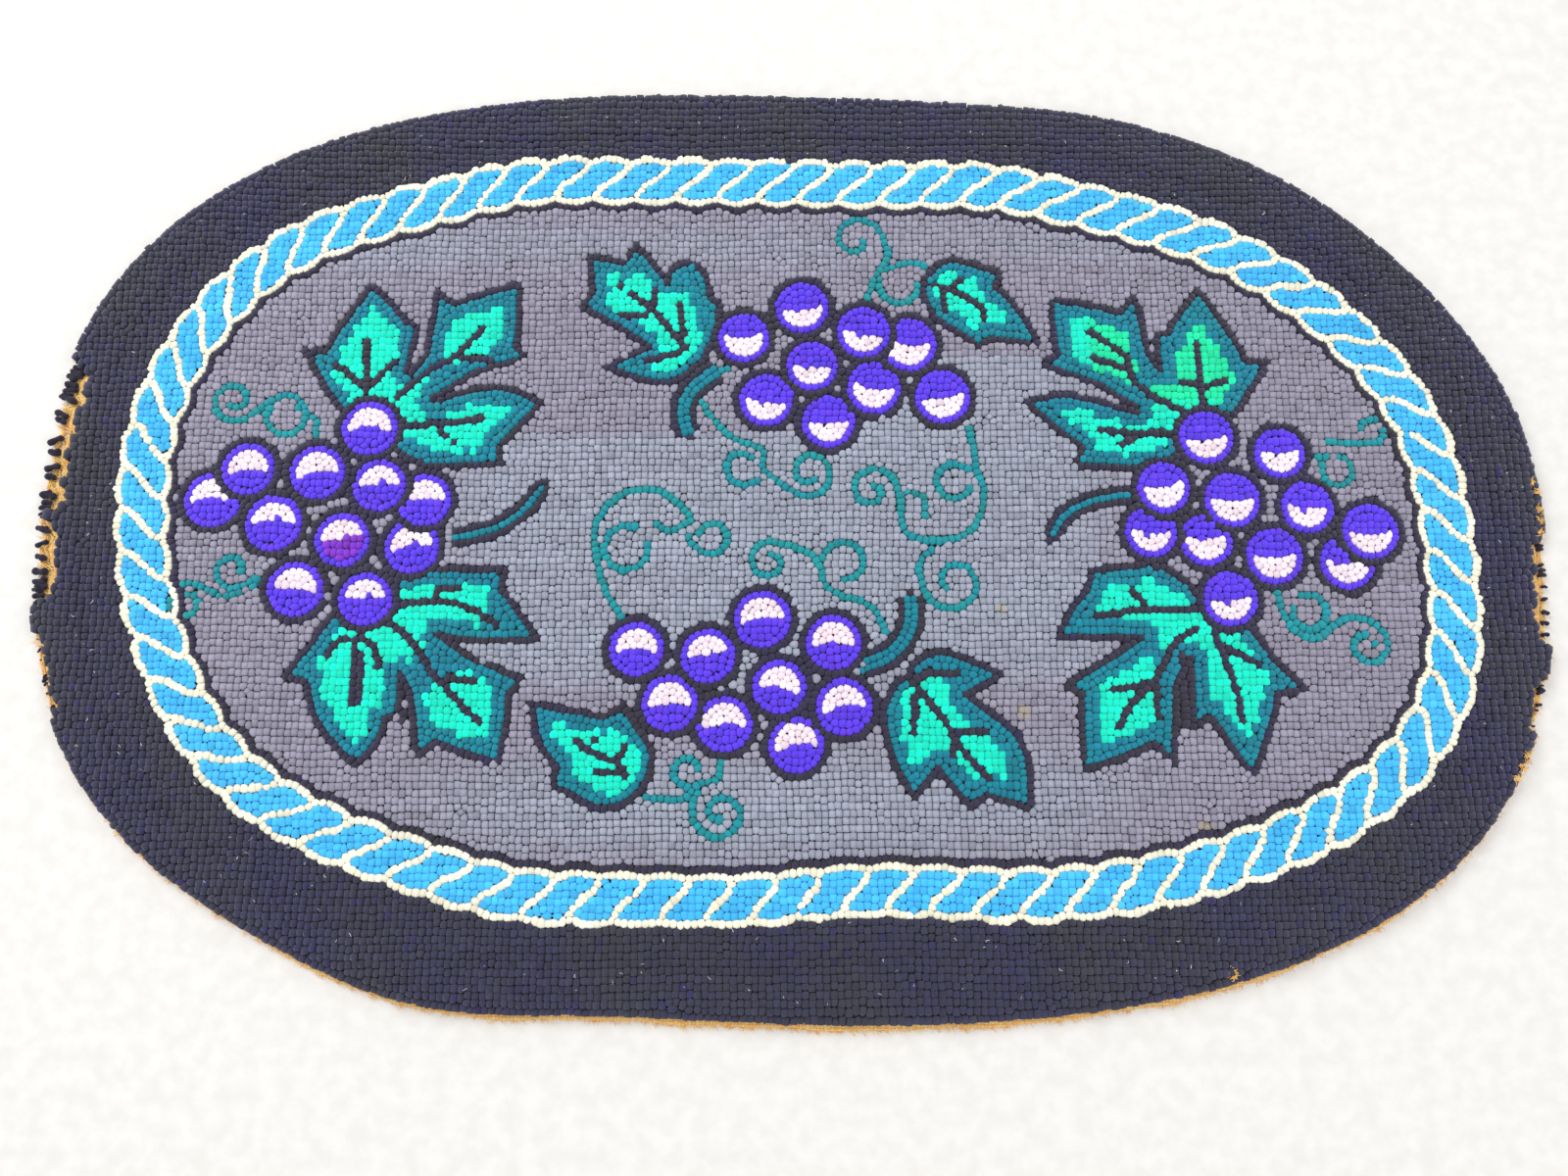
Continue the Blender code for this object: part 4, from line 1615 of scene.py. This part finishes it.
@dataclass
class ThreadBundle:
    """Threads drawn as splines and turned into one mesh."""

    name: str
    sides: int = 1
    splines: list[tuple[np.ndarray, np.ndarray]] = field(default_factory=list)

    def draw(self, points: np.ndarray, widths: np.ndarray | float) -> None:
        """Adds one thread.

        Args:
            points: Its middle line.
            widths: Its radius at each point, or all along.
        """
        self.splines.append((np.asarray(points, float), np.broadcast_to(widths, len(points))))

    def build(self, finish: bpy.types.Material, slot: str, *nodes: str) -> bpy.types.Object:
        """Makes the bundle a piece.

        Args:
            finish: Its material.
            slot: Its material slot.
            nodes: The CAD nodes it replaces.

        Returns:
            The piece.
        """
        curve = bpy.data.curves.new(self.name, "CURVE")
        curve.dimensions = "3D"
        curve.bevel_depth = 1.0
        curve.bevel_resolution = self.sides
        curve.use_fill_caps = True
        for points, widths in self.splines:
            spline = curve.splines.new("POLY")
            spline.points.add(len(points) - 1)
            spline.points.foreach_set("co", np.column_stack([points, np.ones(len(points))]).ravel())
            spline.points.foreach_set("radius", np.asarray(widths, float))
        drawn = bpy.data.objects.new(self.name + "_curve", curve)
        bpy.context.scene.collection.objects.link(drawn)
        ready = drawn.evaluated_get(bpy.context.evaluated_depsgraph_get())
        mesh = bpy.data.meshes.new_from_object(ready)
        mesh.name = self.name
        bpy.data.objects.remove(drawn)
        mesh.shade_smooth()
        return home(self.name, mesh, finish, slot, *nodes)


@dataclass
class FrayedEdge:
    """One worn stretch of the rim: bared burlap threads, hairs, and ends of the lost yarn."""

    worn: Worn
    chance: np.random.Generator
    pitch: float = 0.0021
    thread: float = 0.00050

    def spot(self, bearing: float, out: float, height: float) -> np.ndarray:
        """A point outside the cloth's edge.

        Args:
            bearing: Its bearing, in degrees.
            out: How far outside the cloth's edge it lies, as a share of the way to the rim.
            height: Its height.

        Returns:
            The point.
        """
        at = np.array([bearing])
        inset = WORN_RIM.cloth_inset(at) * (1.0 - out)
        return np.array([*RIM.points(at, inset)[0], height]) + np.array([*MIDDLE, 0.0])

    def room(self, bearing: float) -> float:
        """Metres from the cloth's edge to the rim at a bearing."""
        return float(max(WORN_RIM.cloth_inset(np.array([bearing]))[0], 0.0008))

    def degrees(self, length: float) -> float:
        """How many degrees a length of rim takes here."""
        middle = (self.worn.first_deg + self.worn.last_deg) / 2.0
        step = RIM.points(np.array([middle, middle + 1.0]), 0.0)
        return length / float(np.hypot(*(step[1] - step[0])))

    def lengthwise(self, bundle: ThreadBundle) -> None:
        """Draws the threads that run along the edge, each broken here and there.

        Args:
            bundle: Where they go.
        """
        step = self.degrees(self.pitch / 2.0)
        first, last = self.worn.first_deg + 0.5, self.worn.last_deg - 0.5
        for row in range(-1, 7):
            at = first + self.chance.random() * 1.0
            while at < last:
                count = int(self.chance.integers(10, 46))
                points = []
                sway = self.chance.uniform(-0.5, 0.5, 3)
                for k in range(count):
                    bearing = at + k * step
                    if bearing > last:
                        break
                    waves = 0.0005 * math.sin(0.33 * k + 6 * sway[0]) + 0.0005 * sway[1] * math.sin(0.9 * k)
                    out = (row * 0.0014 + waves) / self.room(bearing)
                    if out > 0.74:
                        continue
                    height = 0.00145 - 0.00010 * row + 0.00038 * math.cos(math.pi * k + row * math.pi)
                    points.append(self.spot(bearing, out, max(height, 0.0005)))
                if len(points) > 4:
                    bundle.draw(np.array(points), self.thread * self.chance.uniform(0.8, 1.15))
                at += (count + 3 + 9 * self.chance.random()) * step

    def crosswise(self, bundle: ThreadBundle) -> None:
        """Draws the threads that come out of the cloth's edge and end raggedly.

        Args:
            bundle: Where they go.
        """
        step = self.degrees(self.pitch)
        bearing = self.worn.first_deg + 0.3
        number = 0
        while bearing < self.worn.last_deg - 0.3:
            room = self.room(bearing)
            reach = min(room + self.worn.reach_out, room * (0.30 + 0.80 * self.chance.random()))
            reach = max(reach, 0.002)
            drift = self.chance.normal(0.0, 0.35)
            bend = self.chance.normal(0.0, 0.5)
            points = []
            for k in range(9):
                share = k / 8.0
                out = (-0.0022 + (reach + 0.0022) * share) / room
                aside = self.degrees((drift * share + bend * share * share) * 0.0035)
                height = 0.00125 + 0.0004 * math.cos(math.pi * (k + number)) - 0.0007 * share
                points.append(self.spot(bearing + aside, out, max(height, 0.0005)))
            widths = self.thread * np.linspace(1.0, 0.45, 9) * self.chance.uniform(0.8, 1.1)
            bundle.draw(np.array(points), widths)
            bearing += step * self.chance.uniform(0.8, 1.25)
            number += 1

    def hairs(self, bundle: ThreadBundle) -> None:
        """Draws fine curly fibres along the stretch.

        Args:
            bundle: Where they go.
        """
        length = (self.worn.last_deg - self.worn.first_deg) / self.degrees(1.0)
        for _ in range(int(length * 1300)):
            bearing = self.chance.uniform(self.worn.first_deg + 0.4, self.worn.last_deg - 0.4)
            start = self.chance.uniform(-0.1, 0.75)
            here = self.spot(bearing, start, self.chance.uniform(0.0006, 0.0022))
            way = self.chance.uniform(0.0, 2.0 * math.pi)
            points = [here]
            for _ in range(6):
                way += self.chance.normal(0.0, 0.6)
                here = here + np.array(
                    [0.0011 * math.cos(way), 0.0011 * math.sin(way), self.chance.normal(0, 0.0002)]
                )
                here[2] = min(max(here[2], 0.0003), 0.0034)
                points.append(here)
            bundle.draw(np.array(points), np.linspace(0.00011, 0.00004, 7))

    def yarn_ends(self, bundle: ThreadBundle) -> None:
        """Draws the dark ends of yarn that still hang in the outer threads, in clumps.

        Args:
            bundle: Where they go.
        """
        bearing = self.worn.first_deg + 0.5
        while bearing < self.worn.last_deg - 0.4:
            room = self.room(bearing)
            reach = self.chance.uniform(0.75, 1.05) * room
            length = min(self.chance.uniform(0.0050, 0.0095), room * 0.85)
            lean = self.chance.normal(0.0, 0.22)
            thick = self.chance.uniform(0.0018, 0.0027) * min(1.0, room / 0.008)
            high = self.chance.uniform(0.0, 0.0006)
            points, widths = [], []
            for k in range(8):
                share = k / 7.0
                aside = self.degrees(lean * length * share + 0.0004 * math.sin(5.0 * share + reach * 900.0))
                height = 0.0004 + thick + high + 0.0005 * math.sin(math.pi * share)
                points.append(self.spot(bearing + aside, (reach - length * (1.0 - share)) / room, height))
                widths.append(thick * (0.85 + 0.15 * math.sin(2.6 * math.pi * share + high * 9000.0)))
            widths[0] *= 0.6
            widths[-1] *= 0.9
            bundle.draw(np.array(points), np.array(widths))
            close = self.chance.random() < 0.55
            bearing += self.degrees(
                self.chance.uniform(0.0024, 0.0036) if close else self.chance.uniform(0.006, 0.011)
            )

    def build(self, threads: bpy.types.Material, yarn_bundle: ThreadBundle) -> bpy.types.Object:
        """Builds the stretch's threads, and adds its yarn ends to a bundle.

        Args:
            threads: The threads' material.
            yarn_bundle: Where the yarn ends go.

        Returns:
            The threads' piece.
        """
        bundle = ThreadBundle(f"burlap_threads_{self.worn.name}")
        self.lengthwise(bundle)
        self.crosswise(bundle)
        self.hairs(bundle)
        self.yarn_ends(yarn_bundle)
        return bundle.build(threads, "burlap_threads", f"frayed_edge_{self.worn.name}")


@dataclass
class HemFringe:
    """Short frayed ends along the hem, where it peeps out beyond the loops."""

    chance: np.random.Generator
    tufts: int = 1500
    nicks: tuple[tuple[float, float, float], ...] = (
        (313.4, 0.0045, 0.0034),
        (3.3, 0.0048, 0.0014),
        (2.5, 0.0022, 0.0014),
        (1.1, 0.0026, 0.0020),
        (0.2, 0.0034, 0.0018),
        (359.3, 0.0042, 0.0020),
        (342.0, 0.0016, 0.0016),
        (341.1, 0.0016, 0.0022),
        (340.1, 0.0018, 0.0022),
    )

    def build(self, finish: bpy.types.Material) -> bpy.types.Object:
        """Builds the fringe.

        Args:
            finish: Its material.

        Returns:
            The piece.
        """
        bundle = ThreadBundle("hem_fringe", 0)
        bearings = self.chance.uniform(196.0, 359.0, self.tufts)
        for bearing in bearings[WORN_RIM.wear(bearings) < 0.0005]:
            at = np.array([bearing])
            inset = WORN_RIM.cloth_inset(at) + 0.0005
            here = np.array(
                [*RIM.points(at, inset)[0], self.chance.uniform(0.0004, 0.0026)]
            ) + np.array([*MIDDLE, 0.0])
            out = math.radians(bearing) + self.chance.normal(0.0, 0.9)
            step = self.chance.uniform(0.0003, 0.0011)
            points = [here]
            for _ in range(4):
                out += self.chance.normal(0.0, 0.5)
                here = here + np.array(
                    [step * math.cos(out), step * math.sin(out), self.chance.normal(0, 0.0002)]
                )
                here[2] = max(here[2], 0.0003)
                points.append(here)
            widths = np.array([1.0, 1.0, 0.8, 0.6, 0.3]) * self.chance.uniform(0.00012, 0.00034)
            bundle.draw(np.array(points), widths)
        for bearing, inset, width in self.nicks:
            x, y = RIM.points(np.array([bearing]), np.array([inset]))[0] + np.array(MIDDLE)
            for _ in range(round(7000.0 * width) + 6):
                way = self.chance.uniform(0.0, 2.0 * math.pi)
                here = np.array(
                    [x, y, 0.0082]
                ) + self.chance.normal(0.0, 0.45, 3) * np.array([width, width, 0.0006])
                points = [here]
                for _ in range(5):
                    way += self.chance.normal(0.0, 0.7)
                    here = here + np.array([0.0006 * math.cos(way), 0.0006 * math.sin(way), 0.0])
                    points.append(here)
                bundle.draw(np.array(points), np.linspace(0.0003, 0.00012, 6))
        return bundle.build(finish, "burlap_threads", "ground_cloth")


@dataclass
class Lint:
    """Bits of pale fluff caught in the dark border."""

    chance: np.random.Generator
    bits: int = 150

    def build(self, maker: PileMaker, finish: bpy.types.Material) -> bpy.types.Object:
        """Builds the lint.

        Args:
            maker: The pile it lies on.
            finish: Its material.

        Returns:
            The piece.
        """
        bundle = ThreadBundle("lint", 0)
        border = np.flatnonzero((maker.pile.yarn == Yarn.BORDER.value) & (maker.edge > 0.011))
        for i in self.chance.choice(border, self.bits, replace=False):
            here = np.array(
                [maker.pile.x[i] + MIDDLE[0], maker.pile.y[i] + MIDDLE[1], maker.top[i] + 0.0001]
            )
            way = self.chance.uniform(0.0, 2.0 * math.pi)
            points = [here]
            step = self.chance.uniform(0.0003, 0.0009)
            for _ in range(4):
                way += self.chance.normal(0.0, 0.7)
                here = here + np.array(
                    [step * math.cos(way), step * math.sin(way), self.chance.normal(0, 0.0001)]
                )
                points.append(here)
            widths = np.array([0.5, 1.0, 1.1, 0.8, 0.3]) * self.chance.uniform(0.00007, 0.00020)
            bundle.draw(np.array(points), widths)
        return bundle.build(finish, "cream_yarn", "hooked_pile")


# Materials


def from_eight_bit(red: int, green: int, blue: int) -> tuple[float, float, float, float]:
    """A colour as Blender's shaders want it, from the usual 0 to 255."""
    channels = [value / 255.0 for value in (red, green, blue)]
    return (*(c / 12.92 if c <= 0.04045 else ((c + 0.055) / 1.055) ** 2.4 for c in channels), 1.0)


class Wire:
    """A value in a material, so that its maths can be written as an expression."""

    def __init__(self, sheet: "Sheet", socket: bpy.types.NodeSocket) -> None:
        """Wraps an output.

        Args:
            sheet: The material's nodes.
            socket: The output.
        """
        self.sheet = sheet
        self.socket = socket

    def math(self, operation: str, *others: "Wire | float") -> "Wire":
        """This value and others through one Math node.

        Args:
            operation: The node's operation.
            others: The other values.

        Returns:
            The result.
        """
        inputs = dict(enumerate((self, *others)))
        return self.sheet.wire("ShaderNodeMath", {"operation": operation}, inputs)

    def __add__(self, other: "Wire | float") -> "Wire":
        """This value plus another."""
        return self.math("ADD", other)

    def __sub__(self, other: "Wire | float") -> "Wire":
        """This value less another."""
        return self.math("SUBTRACT", other)

    def __rsub__(self, other: float) -> "Wire":
        """Another value less this one."""
        return self.sheet.wire("ShaderNodeMath", {"operation": "SUBTRACT"}, {0: other, 1: self})

    def __mul__(self, other: "Wire | float") -> "Wire":
        """This value times another."""
        return self.math("MULTIPLY", other)

    def __pow__(self, other: "Wire | float") -> "Wire":
        """This value to a power."""
        return self.math("POWER", other)

    __radd__ = __add__
    __rmul__ = __mul__

    def between(self, low: float, high: float) -> "Wire":
        """A soft rise from 0 at low to 1 at high."""
        settings = {"interpolation_type": "SMOOTHSTEP"}
        return self.sheet.wire(
            "ShaderNodeMapRange", settings, {"Value": self, "From Min": low, "From Max": high}
        )


class Sheet:
    """One material's nodes."""

    def __init__(self, name: str) -> None:
        """Starts a material with its Principled shader.

        Args:
            name: The material's name.
        """
        self.material = bpy.data.materials.new(name)
        self.material.use_nodes = True
        self.tree = self.material.node_tree
        self.shader = self.tree.nodes["Principled BSDF"]

    def node(self, kind: str, settings: dict | None = None, inputs: dict | None = None) -> bpy.types.Node:
        """Adds a node.

        Args:
            kind: Its type.
            settings: Its settings, set first.
            inputs: Values or links of its sockets, by name or number.

        Returns:
            The node.
        """
        made = self.tree.nodes.new(kind)
        for key, value in (settings or {}).items():
            setattr(made, key, value)
        for key, value in (inputs or {}).items():
            self.put(made.inputs[key], value)
        return made

    def put(self, socket: bpy.types.NodeSocket, value: object) -> None:
        """Links a wire or an output to a socket, or sets the socket's own value.

        Args:
            socket: The socket.
            value: What it gets.
        """
        if isinstance(value, Wire):
            value = value.socket
        if isinstance(value, bpy.types.NodeSocket):
            self.tree.links.new(value, socket)
        else:
            socket.default_value = value

    def wire(
        self, kind: str, settings: dict | None = None, inputs: dict | None = None, output: int | str = 0
    ) -> Wire:
        """Adds a node and wraps one of its outputs."""
        return Wire(self, self.node(kind, settings, inputs).outputs[output])

    def place(self) -> Wire:
        """Object coordinates, in metres."""
        return self.wire("ShaderNodeTexCoord", output="Object")

    def attribute(self, name: str, output: str) -> Wire:
        """A mesh attribute."""
        return self.wire("ShaderNodeAttribute", {"attribute_name": name}, output=output)

    def parts(self, vector: Wire) -> tuple[Wire, Wire, Wire]:
        """A vector's three parts."""
        split = self.node("ShaderNodeSeparateXYZ", inputs={"Vector": vector})
        return tuple(Wire(self, output) for output in split.outputs)

    def stretched(self, vector: Wire, by: tuple[float, float, float]) -> Wire:
        """A vector with each part multiplied."""
        return self.wire("ShaderNodeVectorMath", {"operation": "MULTIPLY"}, {0: vector, 1: by})

    def noise(self, vector: Wire, scale: float, detail: float = 2.0) -> Wire:
        """Noise between 0 and 1, at a scale in waves for each metre."""
        return self.wire("ShaderNodeTexNoise", inputs={"Vector": vector, "Scale": scale, "Detail": detail})

    def blend(self, factor: Wire | float, first: object, second: object) -> Wire:
        """Two colours mixed.

        Args:
            factor: How much of the second.
            first: The first colour.
            second: The second colour.

        Returns:
            The mix.
        """
        return self.wire(
            "ShaderNodeMix", {"data_type": "RGBA"}, {0: factor, 6: first, 7: second}, output=2
        )

    def lit(self, colour: Wire, amount: Wire | float) -> Wire:
        """A colour made lighter or darker."""
        return self.wire("ShaderNodeVectorMath", {"operation": "SCALE"}, {0: colour, "Scale": amount})

    def relief(self, height: Wire, strength: float, distance: float) -> Wire:
        """A normal from heights."""
        return self.wire(
            "ShaderNodeBump", inputs={"Height": height, "Strength": strength, "Distance": distance}
        )

    def finish(self, **sockets: object) -> bpy.types.Material:
        """Sets the shader's sockets and gives the material.

        Args:
            sockets: Values or wires by the socket's name, with _ for a space.

        Returns:
            The material.
        """
        for key, value in sockets.items():
            self.put(self.shader.inputs[key.replace("_", " ")], value)
        return self.material


@dataclass(frozen=True)
class YarnFinish:
    """Wool yarn of one dye lot and its second shade, with painted shade towards the foot of each loop."""

    name: str
    colour: tuple[int, int, int]
    second: tuple[int, int, int]
    sheen: float = 0.25
    # Painted shade: how light each loop's foot stays, as a share of its colour, standing for the shade in
    # the gaps between the loops.
    painted_gap_shade: float = 0.26
    stains: tuple[tuple[float, float, float], ...] = ()

    def build(self) -> bpy.types.Material:
        """Builds the yarn's material.

        Returns:
            The material.
        """
        sheet = Sheet(self.name)
        shade, tone, second = sheet.parts(sheet.attribute("yarn_look", "Vector"))
        along, aside, _ = sheet.parts(sheet.attribute("yarn_lay", "Vector"))
        place = sheet.place()
        fibre = sheet.noise(place, 1400.0, 3.0)
        wool = sheet.noise(place, 420.0, 2.0)
        ply = ((along * 2900.0 + aside * 4300.0 + wool * 3.0).math("SINE")) * 0.5 + 0.5
        colour = sheet.blend(second, from_eight_bit(*self.colour), from_eight_bit(*self.second))
        for x, y, radius in self.stains:
            away = sheet.wire(
                "ShaderNodeVectorMath", {"operation": "DISTANCE"}, {0: place, 1: (x, y, 0.009)}, "Value"
            )
            spot = (away + wool * radius).between(1.7 * radius, 0.9 * radius) * (fibre * 0.9 + 0.1)
            colour = sheet.blend(spot, colour, from_eight_bit(176, 160, 112))
        # The ply term darkens the grooves of the yarn's twist: painted shade. Tone and fibre are the yarn's
        # own colour variation.
        light = (tone * 0.42 + 0.79) * (fibre * 0.36 + 0.82) * (ply * 0.16 + 0.92)
        # Painted shade: the colour darkens from each loop's top down to its foot, where it reaches the gap
        # shade level, for the shade in the gaps between the loops.
        deep = shade**1.2 * (1.0 - self.painted_gap_shade) + self.painted_gap_shade
        height = ply * 0.55 + fibre * 0.45
        return sheet.finish(
            Base_Color=sheet.lit(colour, light * deep),
            Roughness=0.93,
            Sheen_Weight=self.sheen,
            Sheen_Roughness=0.55,
            Specular_IOR_Level=0.18,
            Normal=sheet.relief(height, 0.55, 0.00028),
        )


@dataclass(frozen=True)
class BurlapFinish:
    """Golden brown burlap in plain weave."""

    name: str = "burlap"
    pitch: float = 0.0021
    colour: tuple[int, int, int] = (232, 172, 88)
    pale: tuple[int, int, int] = (252, 212, 144)
    weave_hollow_shade: tuple[int, int, int] = (156, 102, 48)

    def build(self) -> bpy.types.Material:
        """Builds the cloth's material.

        Returns:
            The material.
        """
        sheet = Sheet(self.name)
        place = sheet.place()
        x, y, _ = sheet.parts(place)
        turn = math.pi / self.pitch
        wave_x, wave_y = (x * turn).math("SINE"), (y * turn).math("SINE")
        over = (wave_x * wave_y * 6.0).between(-1.0, 1.0)
        warp = wave_x.math("ABSOLUTE") ** 0.6
        weft = wave_y.math("ABSOLUTE") ** 0.6
        height = warp * over + weft * (1.0 - over)
        slub_x = sheet.noise(sheet.stretched(place, (1.0, 0.06, 1.0)), 900.0)
        slub_y = sheet.noise(sheet.stretched(place, (0.06, 1.0, 1.0)), 900.0)
        slub = slub_x * over + slub_y * (1.0 - over)
        fibre = sheet.noise(place, 2500.0, 3.0)
        colour = sheet.blend(
            slub.between(0.3, 0.7), from_eight_bit(*self.colour), from_eight_bit(*self.pale)
        )
        # Painted shade: the weave's hollows, where the threads dip, darken towards a deep brown.
        colour = sheet.blend(height.between(0.05, 0.55), from_eight_bit(*self.weave_hollow_shade), colour)
        return sheet.finish(
            Base_Color=sheet.lit(colour, fibre * 0.5 + 0.75),
            Roughness=0.9,
            Sheen_Weight=0.1,
            Specular_IOR_Level=0.2,
            Normal=sheet.relief(height * 0.8 + fibre * 0.2, 0.7, 0.0006),
        )


@dataclass(frozen=True)
class ThreadFinish:
    """Loose fibres: jute threads, yarn ends or lint."""

    name: str
    colour: tuple[int, int, int]
    pale: tuple[int, int, int]
    twist: float = 5200.0

    def build(self) -> bpy.types.Material:
        """Builds the threads' material.

        Returns:
            The material.
        """
        sheet = Sheet(self.name)
        place = sheet.place()
        x, y, z = sheet.parts(place)
        patch = sheet.noise(place, 260.0, 2.0)
        fibre = sheet.noise(place, 2600.0, 3.0)
        ply = ((x + y + z * 1.5) * self.twist + patch * 4.0).math("SINE") * 0.5 + 0.5
        colour = sheet.blend(
            patch.between(0.35, 0.65), from_eight_bit(*self.colour), from_eight_bit(*self.pale)
        )
        return sheet.finish(
            # The ply term darkens the grooves of the twist: painted shade. Patch and fibre are the threads'
            # own colour variation.
            Base_Color=sheet.lit(colour, (fibre * 0.5 + 0.75) * (ply * 0.25 + 0.85)),
            Roughness=0.9,
            Sheen_Weight=0.15,
            Specular_IOR_Level=0.2,
            Normal=sheet.relief(ply * 0.6 + fibre * 0.4, 0.6, 0.0002),
        )


STAINS = ((0.2516, -0.185, 0.006), (0.1446, -0.115, 0.0055), (0.133, -0.051, 0.004))


@dataclass(frozen=True)
class Dyes:
    """All the finishes of the rug."""

    yarns: dict[Yarn, YarnFinish] = field(
        default_factory=lambda: {
            Yarn.BORDER: YarnFinish("border_yarn", (58, 59, 71), (52, 48, 90), painted_gap_shade=0.34),
            Yarn.FIELD: YarnFinish("ground_yarn", (160, 166, 182), (151, 146, 164), 0.25, 0.50, STAINS),
            Yarn.ROPE: YarnFinish("rope_yarn", (76, 198, 255), (64, 188, 252), painted_gap_shade=0.62),
            Yarn.CREAM: YarnFinish("cream_yarn", (250, 248, 228), (250, 244, 216), painted_gap_shade=0.72),
            Yarn.GRAPE: YarnFinish("grape_yarn", (96, 60, 238), (136, 50, 208), painted_gap_shade=0.52),
            Yarn.HIGHLIGHT: YarnFinish("highlight_yarn", (255, 238, 250), (255, 232, 240), painted_gap_shade=0.75),
            Yarn.LEAF: YarnFinish("leaf_yarn", (0, 238, 206), (14, 232, 168), painted_gap_shade=0.62),
            Yarn.TEAL: YarnFinish("teal_yarn", (4, 136, 152), (4, 128, 154), painted_gap_shade=0.52),
            Yarn.OUTLINE: YarnFinish("outline_yarn", (54, 50, 64), (50, 45, 80), painted_gap_shade=0.42),
            Yarn.TENDRIL: YarnFinish("tendril_yarn", (20, 150, 152), (18, 144, 160), painted_gap_shade=0.50),
        }
    )
    burlap: BurlapFinish = BurlapFinish()
    jute: ThreadFinish = ThreadFinish("burlap_threads", (246, 180, 82), (255, 220, 140))
    yarn_ends: ThreadFinish = ThreadFinish("yarn_ends", (38, 34, 50), (52, 46, 62), 2600.0)
    lint: ThreadFinish = ThreadFinish("lint", (226, 226, 232), (248, 248, 250))


# The studio


@dataclass(frozen=True)
class Studio:
    """A plain pale floor, soft light from the upper left and a camera that looks down on the rug."""

    camera_at: tuple[float, float, float] = (-0.0024, -0.1793, 0.7548)
    camera_tilt_deg: float = 10.7
    lens: float = 28.0
    world: float = 0.80

    def floor(self) -> None:
        """Lays the floor."""
        bm = bmesh.new()
        bmesh.ops.create_grid(bm, x_segments=1, y_segments=1, size=3.0)
        mesh = bpy.data.meshes.new("floor")
        bm.to_mesh(mesh)
        bm.free()
        sheet = Sheet("pale_floor")
        grain = sheet.noise(sheet.place(), 90.0, 4.0)
        colour = sheet.blend(grain.between(0.3, 0.7), (0.80, 0.78, 0.74, 1.0), (0.86, 0.84, 0.81, 1.0))
        mesh.materials.append(sheet.finish(Base_Color=colour, Roughness=0.9, Specular_IOR_Level=0.1))
        floor = bpy.data.objects.new("floor", mesh)
        floor.location.z = -0.0004
        bpy.context.scene.collection.objects.link(floor)
        floor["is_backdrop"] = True

    def light(self, name: str, at: tuple[float, float, float], size: float, power: float) -> None:
        """Hangs one soft light that faces the rug.

        Args:
            name: Its name.
            at: Where it hangs.
            size: Its width.
            power: Its watts.
        """
        lamp = bpy.data.lights.new(name, "AREA")
        lamp.size = size
        lamp.energy = power
        held = bpy.data.objects.new(name, lamp)
        held.location = at
        held.rotation_euler = (Vector((0.0, 0.0, 0.0)) - Vector(at)).to_track_quat("-Z", "Y").to_euler()
        bpy.context.scene.collection.objects.link(held)

    def build(self) -> None:
        """Sets up the floor, the lights, the world and the camera."""
        self.floor()
        self.light("window", (-1.3, 1.2, 1.7), 1.3, 31.0)
        self.light("fill", (1.6, -0.6, 1.5), 1.6, 10.0)
        world = bpy.data.worlds.new("studio")
        world.use_nodes = True
        world.node_tree.nodes["Background"].inputs["Color"].default_value = (0.97, 0.98, 1.0, 1.0)
        world.node_tree.nodes["Background"].inputs["Strength"].default_value = self.world
        bpy.context.scene.world = world
        bpy.context.scene.view_settings.view_transform = VIEW_TONE
        camera = bpy.data.cameras.new("camera")
        camera.lens = self.lens
        camera.sensor_width = 36.0
        camera.clip_start = 0.01
        held = bpy.data.objects.new("camera", camera)
        held.location = self.camera_at
        held.rotation_euler = (math.radians(self.camera_tilt_deg), 0.0, 0.0)
        bpy.context.scene.collection.objects.link(held)
        bpy.context.scene.camera = held


def main() -> None:
    """Builds the rug, then the studio."""
    logging.basicConfig(level=logging.INFO, format="%(name)s %(message)s")
    dyes = Dyes()
    pile = Design().hook(np.random.default_rng(7))
    LOG.info("loops: %d", len(pile.x))
    maker = PileMaker(pile, np.random.default_rng(21))
    pieces = maker.build({yarn: finish.build() for yarn, finish in dyes.yarns.items()})
    jute = dyes.jute.build()
    ends = ThreadBundle("yarn_ends", 2)
    for number, worn in enumerate(WORN_RIM.stretches):
        pieces.append(FrayedEdge(worn, np.random.default_rng(40 + number)).build(jute, ends))
    pieces.append(ends.build(dyes.yarn_ends.build(), "border_yarn", "hooked_pile"))
    pieces.append(Lint(np.random.default_rng(60)).build(maker, dyes.lint.build()))
    pieces.append(HemFringe(np.random.default_rng(70)).build(jute))
    Burlap().build(dyes.burlap.build(), pieces)
    Studio().build()


if __name__ == "__main__":
    main()
    boxes = {"cad": CAD_BOX, "visual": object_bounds()}
    {key: [[float(v) for v in corner] for corner in box] for key, box in boxes.items()}
